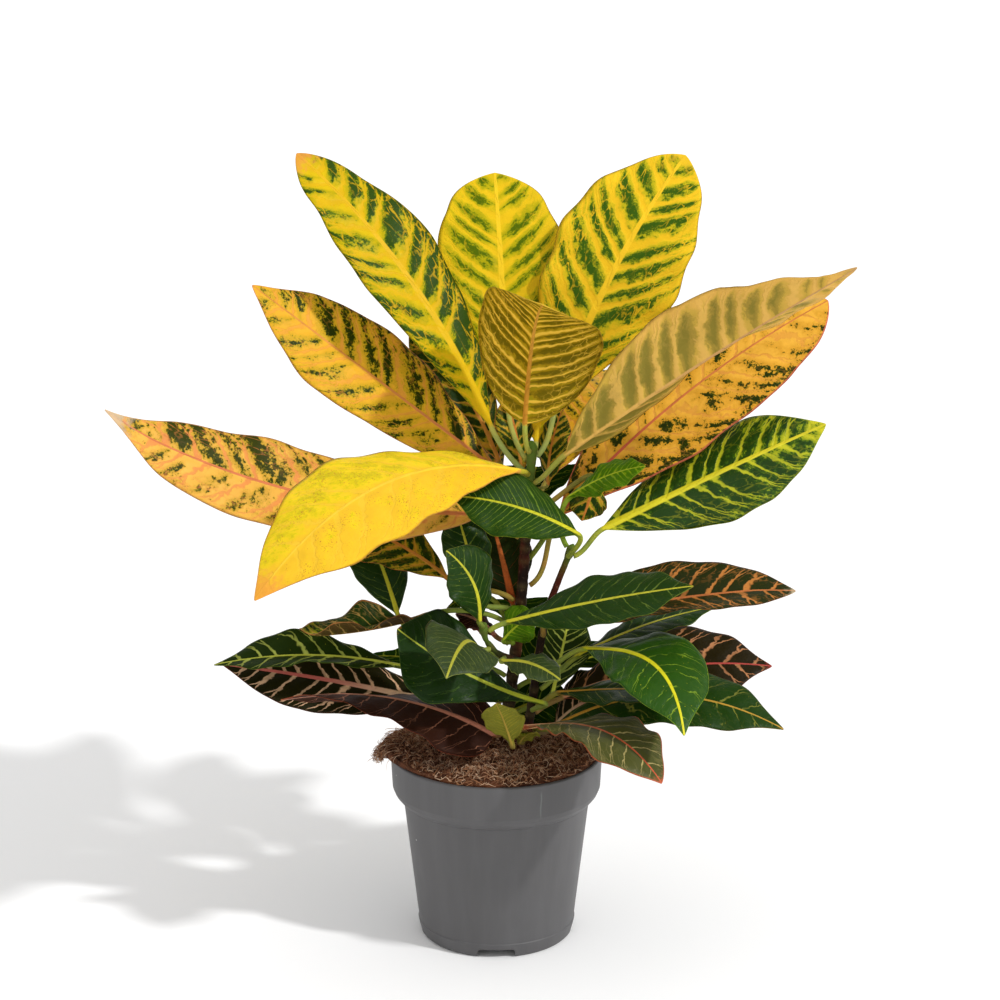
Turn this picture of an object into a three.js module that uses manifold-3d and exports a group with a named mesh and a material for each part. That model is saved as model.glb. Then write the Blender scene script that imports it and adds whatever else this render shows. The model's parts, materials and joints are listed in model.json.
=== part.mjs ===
// A potted croton (Codiaeum variegatum): a gray 13 cm nursery pot filled with
// coir potting soil, two shoots standing in the soil, and every leaf as one
// grown piece of blade and petiole, seated on the shoot that bears it. A low
// side branch is one piece with the right shoot, which it grew from.
//
// Millimetres, +Z up. The origin is the middle of the pot's underside, on the
// surface that the pot stands on, and -Y faces the viewer.

import * as THREE from 'three';
import { mergeVertices } from 'three/addons/utils/BufferGeometryUtils.js';
import Module from 'manifold-3d';

// ---------------------------------------------------------------- dimensions

const POT = {
  height: 117, // rim to underside
  rimRadius: 65, // 13 cm pot, outside of the rim
  rimRounding: 0.7,
  collarRadius: 64, // outside of the collar at its lower edge
  collarBottom: 96, // where the collar starts to round in
  collarRounding: 1.4, // how far it rounds in
  collarDrop: 3.4, // over this height
  shoulderRadius: 57.3, // the body just under the collar
  shoulderHeight: 87.4,
  shoulderFlare: 2.4, // the body widens this much to meet the collar
  shoulderRise: 1.6,
  footBandRadius: 48.3, // top of the foot band
  footBandHeight: 9,
  footBandStep: 0.5, // the band stands out from the body
  footRadius: 47.3,
  footRounding: 1.6,
  footWidth: 3, // the ring that the pot stands on
  wall: 1.6,
  floorUnderside: 4, // the floor stands clear of the surface
  floorThickness: 1.8,
  floorRounding: 1, // inside corner of wall and floor
  hubRadius: 12, // the flat middle of the underside
  hubTaper: 1,
  notchCount: 4, // drain notches through the foot
  notchWidth: 23,
  notchHeight: 5,
  drainCount: 8, // round drain holes in the floor
  drainRadius: 3.5,
  drainCircle: 30,
  drainSides: 10,
  sides: 36,
};

const SOIL = {
  mound: 7, // how far the middle stands above the rim
  edge: 1.5, // how far the heap stands above the rim at its edge
  bevel: 1, // the edge slopes in by this much
  lumpHeight: 1.6, // lumps of coir
  spill: 7, // how far the heap leans out over the rim
  spillHeight: 4, // and how much higher it stands there
  spillAzimuth: 178, // degrees, on the viewer's left
  spillSpread: 32, // degrees
  rings: 5,
};

const FIT = 0.35; // clearance between touching pieces
const CUT = 2; // how far a cut runs past the material

const STEM_SIDES = 12;

const PETIOLE = {
  radius: 1.3,
  tilt: 35, // degrees off square to the shoot where it leaves it
  long: 30, // a petiole over this length has one more step
  steps: 2,
};

const BLADE = {
  thickness: 0.8,
  tipHalfWidth: 0.7,
  fullness: 0.72, // below 1 the outline is fuller than a sine
  across: [-1, -0.5, 0, 0.5, 1], // stations from margin to margin
  crowding: 0.09, // how far the stations crowd towards both ends
  steps: [[100, 9], [50, 7], [0, 5]], // by length: over 100 mm, 9 steps
  wavePhases: [2.4, 0.6], // of the left and the right margin, in radians
  midribFadeAbove: 12, // the midrib's ridge soon sinks into the upper face
  midribFadeBelow: 1.5, // and slowly into the lower one
};

// --------------------------------------------------------------------- shoots

// Centre lines of the shoots, from inside the soil to the growing tip, with
// the radius at the soil and at the tip.
const SHOOTS = {
  main: {
    path: [
      [2, 4, 78], [4, 4, 114], [10, 4, 165], [15, 4, 212], [18, 2, 257], [21, 0, 304], [21, 0, 313],
    ],
    radius: [4.2, 2.6],
    steps: 14,
    colour: 0x4a3428,
  },
  right: {
    path: [
      [14, -6, 80], [17, -8, 118], [22, -9, 153], [26, -10, 185], [31, -11, 211], [37, -12, 229],
      [46, -14, 253],
    ],
    radius: [3.2, 1.8],
    steps: 12,
    colour: 0x5a3d2a,
  },
  left: {
    growsFrom: 'right',
    path: [[25, -11, 170], [13, -29, 185], [2, -39, 192], [-6, -42, 202], [-8, -42, 213]],
    radius: [2.2, 1.5],
    steps: 7,
  },
};

// --------------------------------------------------------------------- leaves

// Blade colours by age and side: the newest are yellow, the oldest dark.
const KINDS = {
  yellow: 0xc9b21e,
  golden: 0xd59a2c,
  olive: 0x9a8136,
  green: 0x35571f,
  dark: 0x26331d,
  bronze: 0x4d2a20,
};

// A plain leaf. bow: how far the blade arches up between its ends. lean: above
// 0 the arch lies nearer the tip. swing: how far the blade curves to its right.
// roll: degrees that the upper face turns to the leaf's right, and twist: the
// change of roll to the tip. fold: degrees that each half rises from the
// midrib. camber: how far the margins curl down. wave: height of the margins'
// waves, and waves: their count. peak: above 1 the blade is widest past its
// middle.
const PLAIN_LEAF = {
  bow: 0,
  lean: 0,
  swing: 0,
  roll: 0,
  twist: 0,
  fold: 6,
  camber: 2,
  wave: 1.5,
  waves: 2,
  peak: 1.2,
};

// One entry a leaf. shoot and node: where the petiole leaves the shoot, as a
// height. base and tip: the ends of the blade. facing: the compass direction,
// in degrees from +X, of a blade that stands or hangs too steeply to show one.
const LEAVES = [
  // the crown
  { name: 'leaf_01_top_left', kind: 'yellow', shoot: 'main', node: 294, width: 56,
    base: [-4, 2, 323], tip: [-119, 45, 478], bow: 12, roll: -38, fold: 8 },
  { name: 'leaf_02_top_middle', kind: 'yellow', shoot: 'main', node: 300, width: 76,
    base: [7, 14, 331], tip: [-1, 85, 461], bow: 10, peak: 1.6, facing: 92 },
  { name: 'leaf_03_top_right', kind: 'yellow', shoot: 'main', node: 303, width: 84,
    base: [36, 8, 333], tip: [114, 60, 475], bow: 8, roll: 40, fold: 8 },
  { name: 'leaf_04_centre_small', kind: 'olive', shoot: 'main', node: 307, width: 76,
    base: [17, -10, 326], tip: [26, -85, 411], bow: 18, roll: -22, facing: -88, fold: 26, peak: 0.8 },
  { name: 'leaf_05_right_olive', kind: 'olive', shoot: 'main', node: 288, width: 58,
    base: [42, -18, 310], tip: [200, -80, 431], bow: 2, roll: -38, fold: 40, peak: 0.9 },
  { name: 'leaf_06_right_golden', kind: 'golden', shoot: 'main', node: 222, width: 80,
    base: [38, 4, 266], tip: [200, 40, 390], bow: 10, roll: 40 },
  { name: 'leaf_07_left_golden', kind: 'golden', shoot: 'main', node: 284, width: 62,
    base: [-4, 12, 295], tip: [-145, 20, 403], bow: 0, roll: -45, peak: 1.1 },
  { name: 'leaf_08_left_dried_tip', kind: 'golden', shoot: 'main', node: 252, width: 56,
    base: [-10, 2, 267], tip: [-232, -30, 338], bow: -16, roll: -50, peak: 1 },
  { name: 'leaf_09_front_yellow', kind: 'yellow', shoot: 'main', node: 293, width: 78,
    base: [13, -18, 299], tip: [-134, -125, 252], bow: 30, roll: -18, fold: 0, camber: 4 },
  // the right shoot and the leaves round its top
  { name: 'leaf_10_right_green', kind: 'green', shoot: 'right', node: 246, width: 60,
    base: [64, -12, 262], tip: [196, 0, 323], bow: 1, roll: 48, fold: -6 },
  { name: 'leaf_11_small_green', kind: 'green', shoot: 'right', node: 250, width: 24,
    base: [44, -14, 282], tip: [87, -35, 306], bow: 3, roll: 40 },
  { name: 'leaf_12_centre_green', kind: 'dark', shoot: 'right', node: 246, width: 44,
    base: [48, -28, 263], tip: [-28, -38, 289], bow: 5, roll: -50 },
  { name: 'leaf_13_hanging_golden', kind: 'golden', shoot: 'main', node: 268, width: 24,
    base: [58, -3, 289], tip: [51, -9, 266], bow: 3, facing: -80 },
  // the middle of the right side
  { name: 'leaf_14_front_green', kind: 'green', shoot: 'left', node: 207, width: 42,
    base: [7, -42, 213], tip: [113, -78, 246], bow: 2, roll: 30 },
  { name: 'leaf_15_dried_hook', kind: 'dark', shoot: 'right', node: 196, width: 46,
    base: [30, -18, 205], tip: [174, -45, 235], bow: 3, roll: 26, fold: 28 },
  { name: 'leaf_16_right_thin', kind: 'dark', shoot: 'right', node: 160, width: 30,
    base: [49, -4, 179], tip: [133, 10, 206], bow: 4, roll: 10 },
  { name: 'leaf_17_pink_veined', kind: 'dark', shoot: 'right', node: 144, width: 56,
    base: [42, 8, 149], tip: [169, 10, 168], bow: 9, roll: 40 },
  { name: 'leaf_18_front_right', kind: 'green', shoot: 'right', node: 172, width: 54,
    base: [54, -28, 192], tip: [107, -110, 167], bow: 18, lean: 0.3, swing: -8, roll: 20 },
  { name: 'leaf_19_behind_front', kind: 'green', shoot: 'right', node: 150, width: 40,
    base: [38, -22, 162], tip: [118, -62, 176], bow: 2, roll: 10 },
  { name: 'leaf_20_low_right', kind: 'dark', shoot: 'main', node: 131, width: 46,
    base: [36, -12, 137], tip: [171, -45, 147], bow: 20, roll: 30 },
  { name: 'leaf_21_low_front', kind: 'dark', shoot: 'right', node: 132, width: 54,
    base: [17, -30, 143], tip: [95, -105, 136], bow: 17, lean: 0.3, peak: 1.6 },
  { name: 'leaf_22_low_back', kind: 'dark', shoot: 'main', node: 126, width: 44,
    base: [36, -4, 134], tip: [89, 22, 152], bow: 6, roll: 30 },
  // between the shoots
  { name: 'leaf_23_upright_dark', kind: 'dark', shoot: 'main', node: 140, width: 34,
    base: [35, 10, 153], tip: [46, 22, 202], bow: 3, facing: 90 },
  { name: 'leaf_24_bright_small', kind: 'green', shoot: 'main', node: 186, width: 26,
    base: [5, -10, 192], tip: [24, -12, 207], bow: 2, roll: 55, facing: 0 },
  { name: 'leaf_25_left_shoot_top', kind: 'dark', shoot: 'left', node: 211, width: 38,
    base: [-10, -50, 217], tip: [-29, -60, 262], bow: 6, roll: -45, facing: 180 },
  { name: 'leaf_26_left_upright', kind: 'green', shoot: 'main', node: 172, width: 38,
    base: [-61, 18, 200], tip: [-84, 36, 258], bow: 4, facing: 110 },
  { name: 'leaf_27_big_dark_left', kind: 'dark', shoot: 'right', node: 148, width: 62,
    base: [27, -34, 160], tip: [-58, -52, 212], bow: -5, roll: -57, peak: 2.3 },
  { name: 'leaf_28_gray_green', kind: 'green', shoot: 'left', node: 198, width: 46,
    base: [-10, -52, 199], tip: [-28, -118, 204], bow: 12, roll: -28 },
  { name: 'leaf_29_small_drooping', kind: 'green', shoot: 'left', node: 191, width: 24,
    base: [4, -52, 192], tip: [37, -80, 190], bow: 4, roll: 15 },
  { name: 'leaf_30_curled', kind: 'dark', shoot: 'main', node: 196, width: 28,
    base: [-43, -16, 209], tip: [-118, -50, 207], bow: -3, fold: 38, camber: 0, wave: -6, waves: 1.8 },
  { name: 'leaf_31_left_green', kind: 'dark', shoot: 'main', node: 164, width: 31,
    base: [-59, -16, 177], tip: [-169, -26, 181], bow: 6, roll: -22, fold: 30 },
  { name: 'leaf_32_left_dark', kind: 'dark', shoot: 'main', node: 146, width: 48,
    base: [-34, -2, 148], tip: [-166, -10, 176], bow: 2, roll: -40 },
  { name: 'leaf_33_bronze', kind: 'bronze', shoot: 'main', node: 134, width: 54,
    base: [-2, -26, 137], tip: [-127, -55, 169], bow: 12, roll: -50, twist: 90, fold: -15, peak: 0.5 },
  { name: 'leaf_34_small_yellow', kind: 'olive', shoot: 'main', node: 126, width: 26,
    base: [9, -44, 139], tip: [0, -70, 172], bow: 2 },
  { name: 'leaf_35_soil_olive', kind: 'olive', shoot: 'right', node: 126, width: 18,
    base: [14, -17, 129], tip: [22, -27, 138], bow: 2 },
  { name: 'leaf_36_small_back', kind: 'green', shoot: 'main', node: 195, width: 24,
    base: [-6, 12, 212], tip: [-33, 8, 202], bow: 4 },
  { name: 'leaf_37_behind_yellow', kind: 'golden', shoot: 'main', node: 212, width: 44,
    base: [-30, 6, 226], tip: [-120, 22, 261], bow: 8, roll: -40 },
  { name: 'leaf_38_orange_midrib', kind: 'dark', shoot: 'main', node: 200, width: 38,
    base: [10, 8, 209], tip: [-3, 24, 258], bow: 2, facing: 100 },
  { name: 'leaf_39_upright_left', kind: 'dark', shoot: 'main', node: 206, width: 30,
    base: [-10, -6, 216], tip: [-25, 8, 270], bow: 2, facing: 110 },
  { name: 'leaf_40_behind_golden', kind: 'golden', shoot: 'main', node: 276, width: 40,
    base: [1, 26, 295], tip: [-54, 62, 378], bow: 6, roll: -30 },
  { name: 'leaf_41_small_red', kind: 'bronze', shoot: 'main', node: 184, width: 20,
    base: [-1, 4, 190], tip: [-25, 12, 201], bow: 3, roll: -20 },
  // the back
  { name: 'leaf_42_back_top', kind: 'yellow', shoot: 'main', node: 290, width: 66,
    base: [24, 20, 308], tip: [34, 150, 380], bow: 14 },
  { name: 'leaf_43_back_top_right', kind: 'golden', shoot: 'main', node: 272, width: 62,
    base: [32, 20, 286], tip: [96, 130, 330], bow: 12 },
  { name: 'leaf_44_back_top_left', kind: 'golden', shoot: 'main', node: 268, width: 52,
    base: [2, 22, 284], tip: [-50, 140, 300], bow: 12 },
  { name: 'leaf_45_back_middle', kind: 'dark', shoot: 'main', node: 246, width: 56,
    base: [20, 22, 262], tip: [28, 155, 250], bow: 16 },
  { name: 'leaf_46_back_right', kind: 'dark', shoot: 'main', node: 238, width: 44,
    base: [44, 28, 266], tip: [140, 108, 296], bow: 12, peak: 1.5 },
  { name: 'leaf_47_back_left', kind: 'golden', shoot: 'main', node: 260, width: 46,
    base: [-12, 24, 266], tip: [-96, 100, 262], bow: 12 },
  { name: 'leaf_48_back_low', kind: 'dark', shoot: 'main', node: 180, width: 48,
    base: [15, 24, 190], tip: [5, 140, 160], bow: 12 },
  { name: 'leaf_49_back_low_right', kind: 'dark', shoot: 'main', node: 156, width: 46,
    base: [36, 22, 160], tip: [122, 88, 150], bow: 8 },
  { name: 'leaf_50_back_low_left', kind: 'dark', shoot: 'main', node: 152, width: 46,
    base: [-12, 22, 156], tip: [-100, 84, 146], bow: 8 },
];

// ------------------------------------------------------------------ functions

const wasm = await Module();
wasm.setup();

const UP = new THREE.Vector3(0, 0, 1);
const radians = THREE.MathUtils.degToRad;
const vector = (point) => new THREE.Vector3(...point);

/** A closed geometry as a solid that can be cut and joined. */
function toSolid(geometry) {
  geometry.deleteAttribute('normal');
  geometry.deleteAttribute('uv');
  const welded = mergeVertices(geometry, 1e-4);
  const vertProperties = new Float32Array(welded.attributes.position.array);
  const triVerts = new Uint32Array(welded.index.array);
  return new wasm.Manifold(new wasm.Mesh({ numProp: 3, vertProperties, triVerts }));
}

/** A solid's surface as a geometry. */
function toGeometry(solid) {
  const mesh = solid.getMesh();
  const geometry = new THREE.BufferGeometry();
  geometry.setAttribute('position', new THREE.BufferAttribute(mesh.vertProperties, 3));
  geometry.setIndex(new THREE.BufferAttribute(mesh.triVerts, 1));
  return geometry;
}

/** A geometry from a list of points and a list of triangles' corners. */
function fromPoints(points, index) {
  const geometry = new THREE.BufferGeometry();
  geometry.setFromPoints(points);
  geometry.setIndex(index);
  return geometry;
}

/** A closed tube through rings of points, each ring running round the same way. */
function loft(rings) {
  const count = rings[0].length;
  const index = [];
  for (let i = 0; i < rings.length - 1; i++) {
    for (let j = 0; j < count; j++) {
      const a = i * count + j;
      const b = i * count + ((j + 1) % count);
      index.push(a, b, b + count, a, b + count, a + count);
    }
  }
  const last = (rings.length - 1) * count;
  for (let j = 1; j < count - 1; j++) {
    index.push(0, j + 1, j);
    index.push(last, last + j, last + j + 1);
  }
  return fromPoints(rings.flat(), index);
}

function named(name, geometry, color, roughness) {
  geometry.computeVertexNormals();
  const material = new THREE.MeshStandardMaterial({ color, roughness, metalness: 0 });
  const mesh = new THREE.Mesh(geometry, material);
  mesh.name = name;
  return mesh;
}

// ------------------------------------------------------------------------ pot

/** The inside of the pot as radius and height, from the floor to the rim. */
function potInside() {
  const { wall } = POT;
  return [
    [POT.footRadius - wall - POT.floorRounding, POT.floorUnderside + POT.floorThickness],
    [POT.footBandRadius - wall, POT.footBandHeight],
    [POT.shoulderRadius - wall, POT.shoulderHeight],
    [POT.collarRadius - wall - POT.collarRounding, POT.collarBottom - POT.collarDrop],
    [POT.collarRadius - wall, POT.collarBottom],
    [POT.rimRadius - wall - POT.rimRounding, POT.height],
  ];
}

/** The outside of the pot, from the rim round the foot to the hub's edge. */
function potOutside() {
  const footInside = POT.footRadius - POT.footWidth - POT.footRounding;
  return [
    [POT.rimRadius - POT.rimRounding, POT.height],
    [POT.rimRadius, POT.height - POT.rimRounding],
    [POT.collarRadius, POT.collarBottom],
    [POT.collarRadius - POT.collarRounding, POT.collarBottom - POT.collarDrop],
    [POT.shoulderRadius + POT.shoulderFlare, POT.shoulderHeight + POT.shoulderRise],
    [POT.shoulderRadius, POT.shoulderHeight],
    [POT.footBandRadius, POT.footBandHeight + POT.footBandStep],
    [POT.footBandRadius + POT.footBandStep, POT.footBandHeight],
    [POT.footRadius, POT.footRounding],
    [POT.footRadius - POT.footRounding, 0],
    [footInside, 0],
    [footInside, POT.floorUnderside],
    [POT.hubRadius + POT.hubTaper, POT.floorUnderside],
    [POT.hubRadius, 0],
  ];
}

/** A drain notch through the foot ring at an angle in degrees. */
function potNotch(angle) {
  const depth = POT.footWidth + 2 * POT.footRounding + 2 * CUT;
  const notch = new THREE.BoxGeometry(depth, POT.notchWidth, POT.notchHeight * 2);
  notch.translate(POT.footRadius + CUT - depth / 2, 0, 0);
  return toSolid(notch.rotateZ(radians(angle)));
}

/** A drain hole through the floor at an angle in degrees. */
function potDrain(angle) {
  const floor = POT.floorUnderside + POT.floorThickness;
  const drain = new THREE.CylinderGeometry(
    POT.drainRadius, POT.drainRadius, 2 * floor, POT.drainSides,
  );
  drain.rotateX(Math.PI / 2);
  drain.translate(POT.drainCircle, 0, floor);
  return toSolid(drain.rotateZ(radians(angle)));
}

function buildPot() {
  const inside = potInside();
  const outline = [[0, inside[0][1]], ...inside, ...potOutside(), [0, 0]];
  const points = outline.reverse().map(([x, y]) => new THREE.Vector2(x, y));
  let pot = toSolid(new THREE.LatheGeometry(points, POT.sides).rotateX(Math.PI / 2));
  for (let k = 0; k < POT.notchCount; k++) {
    pot = pot.subtract(potNotch(-90 + (k * 360) / POT.notchCount));
  }
  for (let k = 0; k < POT.drainCount; k++) {
    pot = pot.subtract(potDrain(((k + 0.5) * 360) / POT.drainCount));
  }
  return toGeometry(pot);
}

// ----------------------------------------------------------------------- soil

/** How far the heap leans out at an angle in degrees, from 0 to 1. */
function spillAt(angle) {
  const away = THREE.MathUtils.euclideanModulo(angle - SOIL.spillAzimuth + 180, 360) - 180;
  return Math.exp(-((away / SOIL.spillSpread) ** 2));
}

/** Lumps on the soil: two patterns of crossed waves, one coarse and one fine. */
function lumps(x, y) {
  const coarse = Math.sin(x * 0.21 + 1.3) * Math.cos(y * 0.19 - 0.4);
  const fine = Math.sin(x * 0.47 - y * 0.33) * Math.cos(y * 0.52 + x * 0.18 + 0.7);
  return SOIL.lumpHeight * (0.6 * coarse + 0.4 * fine);
}

/** A ring round the pot's axis, with a radius and a height for every angle. */
function soilRing(radiusAt, heightAt) {
  const ring = [];
  for (let k = 0; k < POT.sides; k++) {
    const angle = (k * 360) / POT.sides;
    const radius = radiusAt(angle);
    const x = radius * Math.cos(radians(angle));
    const y = radius * Math.sin(radians(angle));
    ring.push(new THREE.Vector3(x, y, heightAt(x, y, angle)));
  }
  return ring;
}

function buildSoil() {
  const rings = potInside().map(([radius, height]) => soilRing(() => radius - FIT, () => height));
  for (const point of rings[0]) point.z += FIT;
  const lip = potInside().at(-1)[0] - FIT;
  const edge = POT.height + SOIL.edge;
  rings.push(soilRing(() => lip, () => POT.height + FIT));
  rings.push(soilRing(
    (angle) => lip + SOIL.spill * spillAt(angle),
    (x, y, angle) => POT.height + FIT + SOIL.edge / 4 * (1 - spillAt(angle)),
  ));
  rings.push(soilRing(
    (angle) => lip - SOIL.bevel + SOIL.spill * spillAt(angle),
    (x, y, angle) => edge + SOIL.spillHeight * spillAt(angle),
  ));
  for (let k = 1; k < SOIL.rings; k++) {
    const share = 1 - k / SOIL.rings;
    const rise = (SOIL.mound - SOIL.edge) * (1 - share ** 2);
    rings.push(soilRing(
      () => (lip - SOIL.bevel) * share,
      (x, y) => edge + rise + lumps(x, y),
    ));
  }
  let soil = toSolid(loft(rings));
  for (const shoot of Object.values(SHOOTS)) {
    if (!shoot.growsFrom) soil = soil.subtract(toSolid(tube(shoot, FIT)));
  }
  return toGeometry(soil);
}

// --------------------------------------------------------------------- shoots

function centreLine(shoot) {
  return new THREE.CatmullRomCurve3(shoot.path.map(vector), false, 'centripetal');
}

function shootRadius(shoot, share) {
  return THREE.MathUtils.lerp(shoot.radius[0], shoot.radius[1], share);
}

/** A shoot as a tube, grown all round by a clearance. */
function tube(shoot, grow = 0) {
  const line = centreLine(shoot);
  const rings = [];
  for (let i = 0; i <= shoot.steps; i++) {
    const share = i / shoot.steps;
    const at = line.getPointAt(share);
    if (i === 0) at.z -= grow;
    const along = line.getTangentAt(share);
    const side = new THREE.Vector3(0, -1, 0).cross(along).normalize();
    const back = new THREE.Vector3().crossVectors(along, side);
    const radius = shootRadius(shoot, share) + grow;
    const ring = [];
    for (let k = 0; k < STEM_SIDES; k++) {
      const angle = (k * 2 * Math.PI) / STEM_SIDES;
      const point = at.clone().addScaledVector(side, radius * Math.cos(angle));
      ring.push(point.addScaledVector(back, radius * Math.sin(angle)));
    }
    rings.push(ring);
  }
  return loft(rings);
}

/** A shoot joined with the side branches that grow from it. */
function buildShoot(name) {
  let solid = toSolid(tube(SHOOTS[name]));
  for (const branch of Object.values(SHOOTS)) {
    if (branch.growsFrom === name) solid = solid.add(toSolid(tube(branch)));
  }
  return toGeometry(solid);
}

/** The place on a shoot's centre line at a height, with its direction and radius. */
function nodeOn(shoot, height) {
  const line = centreLine(shoot);
  let low = 0;
  let high = 1;
  while (high - low > 1e-6) {
    const share = (low + high) / 2;
    if (line.getPointAt(share).z < height) low = share;
    else high = share;
  }
  return {
    point: line.getPointAt(low),
    along: line.getTangentAt(low),
    radius: shootRadius(shoot, low),
  };
}

// --------------------------------------------------------------------- leaves

/** The blade's midrib: a cubic arch whose handles stand 4/3 as high as its bow. */
function midribOf(leaf, right) {
  const base = vector(leaf.base);
  const tip = vector(leaf.tip);
  const chord = tip.clone().sub(base);
  const over = new THREE.Vector3().crossVectors(right, chord).normalize();
  const handle = (share, weight) => base.clone()
    .addScaledVector(chord, share)
    .addScaledVector(over, (leaf.bow * 4 / 3) * weight)
    .addScaledVector(right, leaf.swing * 4 / 3);
  return new THREE.CubicBezierCurve3(
    base, handle(1 / 3, 1 - leaf.lean), handle(2 / 3, 1 + leaf.lean), tip,
  );
}

/** The petiole, from its seat on the shoot into the line of the midrib. */
function petioleOf(node, midrib) {
  const base = midrib.v0;
  const outward = base.clone().sub(node.point).projectOnPlane(node.along).normalize();
  const tilt = radians(PETIOLE.tilt);
  const clear = node.radius + FIT + PETIOLE.radius * Math.sin(tilt);
  const foot = node.point.clone().addScaledVector(outward, clear);
  const reach = foot.distanceTo(base) / 3;
  return new THREE.CubicBezierCurve3(
    foot,
    foot.clone()
      .addScaledVector(outward, reach * Math.cos(tilt))
      .addScaledVector(node.along, reach * Math.sin(tilt)),
    base.clone().addScaledVector(midrib.getTangent(0), -reach),
    base,
  );
}

/** The level direction to the right of a leaf, seen from its base to its tip. */
function rightOf(leaf, node) {
  const heading = vector(leaf.tip).sub(node.point).setZ(0);
  if (leaf.facing !== undefined) {
    heading.set(Math.cos(radians(leaf.facing)), Math.sin(radians(leaf.facing)), 0);
  }
  return heading.normalize().cross(UP);
}

/** Half the blade's width at a share of its length. */
function halfWidth(leaf, share) {
  const blade = (leaf.width / 2) * Math.sin(Math.PI * share ** leaf.peak) ** BLADE.fullness;
  const stalk = THREE.MathUtils.lerp(PETIOLE.radius, BLADE.tipHalfWidth, share);
  return Math.hypot(blade, stalk);
}

/** How far the blade's middle layer stands off its flat plane, across and along. */
function relief(leaf, half, across, share) {
  const rise = half * Math.abs(across) * Math.tan(radians(leaf.fold));
  const phase = BLADE.wavePhases[across > 0 ? 1 : 0];
  const ripple = leaf.wave * Math.sin(2 * Math.PI * leaf.waves * share + phase);
  return (rise + (ripple - leaf.camber) * across ** 2) * Math.sin(Math.PI * share);
}

/** The blade's sideways and upward direction at a share of its length. */
function leafFrame(leaf, right, along, share) {
  const level = right.clone().projectOnPlane(along).normalize();
  const above = new THREE.Vector3().crossVectors(level, along);
  const turn = leaf.roll * Math.min(1, share + 1) + leaf.twist * Math.max(0, share);
  const roll = radians(turn);
  return {
    side: level.clone().multiplyScalar(Math.cos(roll)).addScaledVector(above, -Math.sin(roll)),
    up: level.clone().multiplyScalar(Math.sin(roll)).addScaledVector(above, Math.cos(roll)),
  };
}

/**
 * Two rows of points, the leaf's upper and lower face at one station. The
 * share runs from -1 to 0 along the petiole and from 0 to 1 along the blade.
 */
function leafStation(leaf, curve, at, right, share) {
  const along = curve.getTangent(at);
  const { side, up } = leafFrame(leaf, right, along, share);
  const inBlade = Math.max(0, share);
  const half = share < 0 ? PETIOLE.radius : halfWidth(leaf, share);
  const skin = BLADE.thickness / 2;
  const above = [];
  const below = [];
  for (const across of BLADE.across) {
    const round = (PETIOLE.radius - skin) * Math.sqrt(1 - across ** 2);
    const middle = curve.getPoint(at)
      .addScaledVector(side, half * across)
      .addScaledVector(up, relief(leaf, half, across, inBlade));
    const top = skin + round * (1 - inBlade) ** BLADE.midribFadeAbove;
    const bottom = skin + round * (1 - inBlade) ** BLADE.midribFadeBelow;
    above.push(middle.clone().addScaledVector(up, top));
    below.push(middle.clone().addScaledVector(up, -bottom));
  }
  return [...above, ...below];
}

/** Every station of a leaf, from its seat on the shoot to the blade's tip. */
function leafStations(leaf) {
  const node = nodeOn(SHOOTS[leaf.shoot], leaf.node);
  const right = rightOf(leaf, node);
  const midrib = midribOf(leaf, right);
  const petiole = petioleOf(node, midrib);
  const stations = [];
  const petioleSteps = PETIOLE.steps + (petiole.getLength() > PETIOLE.long ? 1 : 0);
  for (let i = 0; i < petioleSteps; i++) {
    const share = i / petioleSteps;
    stations.push(leafStation(leaf, petiole, share, right, share - 1));
  }
  const length = midrib.getLength();
  const steps = BLADE.steps.find(([limit]) => length > limit)[1];
  for (let i = 0; i <= steps; i++) {
    const even = i / steps;
    const share = even - BLADE.crowding * Math.sin(2 * Math.PI * even);
    stations.push(leafStation(leaf, midrib, share, right, share));
  }
  return stations;
}

/** A closed leaf: both faces split into triangles alike, so that waves never cross. */
function buildLeaf(leaf) {
  const stations = leafStations(leaf);
  const columns = BLADE.across.length;
  const edge = columns - 1;
  const end = stations.length - 1;
  const top = (i, j) => i * 2 * columns + j;
  const bottom = (i, j) => top(i, j) + columns;
  const index = [];
  const face = (a, b, c, d) => index.push(a, b, c, a, c, d);
  for (let i = 0; i < end; i++) {
    for (let j = 0; j < edge; j++) {
      face(top(i, j), top(i, j + 1), top(i + 1, j + 1), top(i + 1, j));
      index.push(bottom(i, j), bottom(i + 1, j + 1), bottom(i, j + 1));
      index.push(bottom(i, j), bottom(i + 1, j), bottom(i + 1, j + 1));
    }
    face(bottom(i, 0), top(i, 0), top(i + 1, 0), bottom(i + 1, 0));
    face(bottom(i, edge), bottom(i + 1, edge), top(i + 1, edge), top(i, edge));
  }
  for (let j = 0; j < edge; j++) {
    face(bottom(0, j), bottom(0, j + 1), top(0, j + 1), top(0, j));
    face(bottom(end, j), top(end, j), top(end, j + 1), bottom(end, j + 1));
  }
  return fromPoints(stations.flat(), index);
}

// ------------------------------------------------------------------- assembly

const group = new THREE.Group();
group.add(named('pot', buildPot(), 0x626264, 0.55));
group.add(named('soil', buildSoil(), 0x5a3a26, 1));
for (const [name, shoot] of Object.entries(SHOOTS)) {
  if (!shoot.growsFrom) group.add(named(`shoot_${name}`, buildShoot(name), shoot.colour, 0.8));
}
for (const leaf of LEAVES) {
  group.add(named(leaf.name, buildLeaf({ ...PLAIN_LEAF, ...leaf }), KINDS[leaf.kind], 0.35));
}

export default group;
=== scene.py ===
"""The looks of a potted croton: a gray nursery pot of coir soil with two leafy shoots.

Lengths are millimetres until a mesh is made, where they become metres. The frame
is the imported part's: +Z up, the origin under the middle of the pot, -Y to the
viewer. Every surface is a grid worked out with numpy as whole arrays.
"""

from __future__ import annotations

import json
import logging
import math
from dataclasses import dataclass
from enum import Enum

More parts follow.
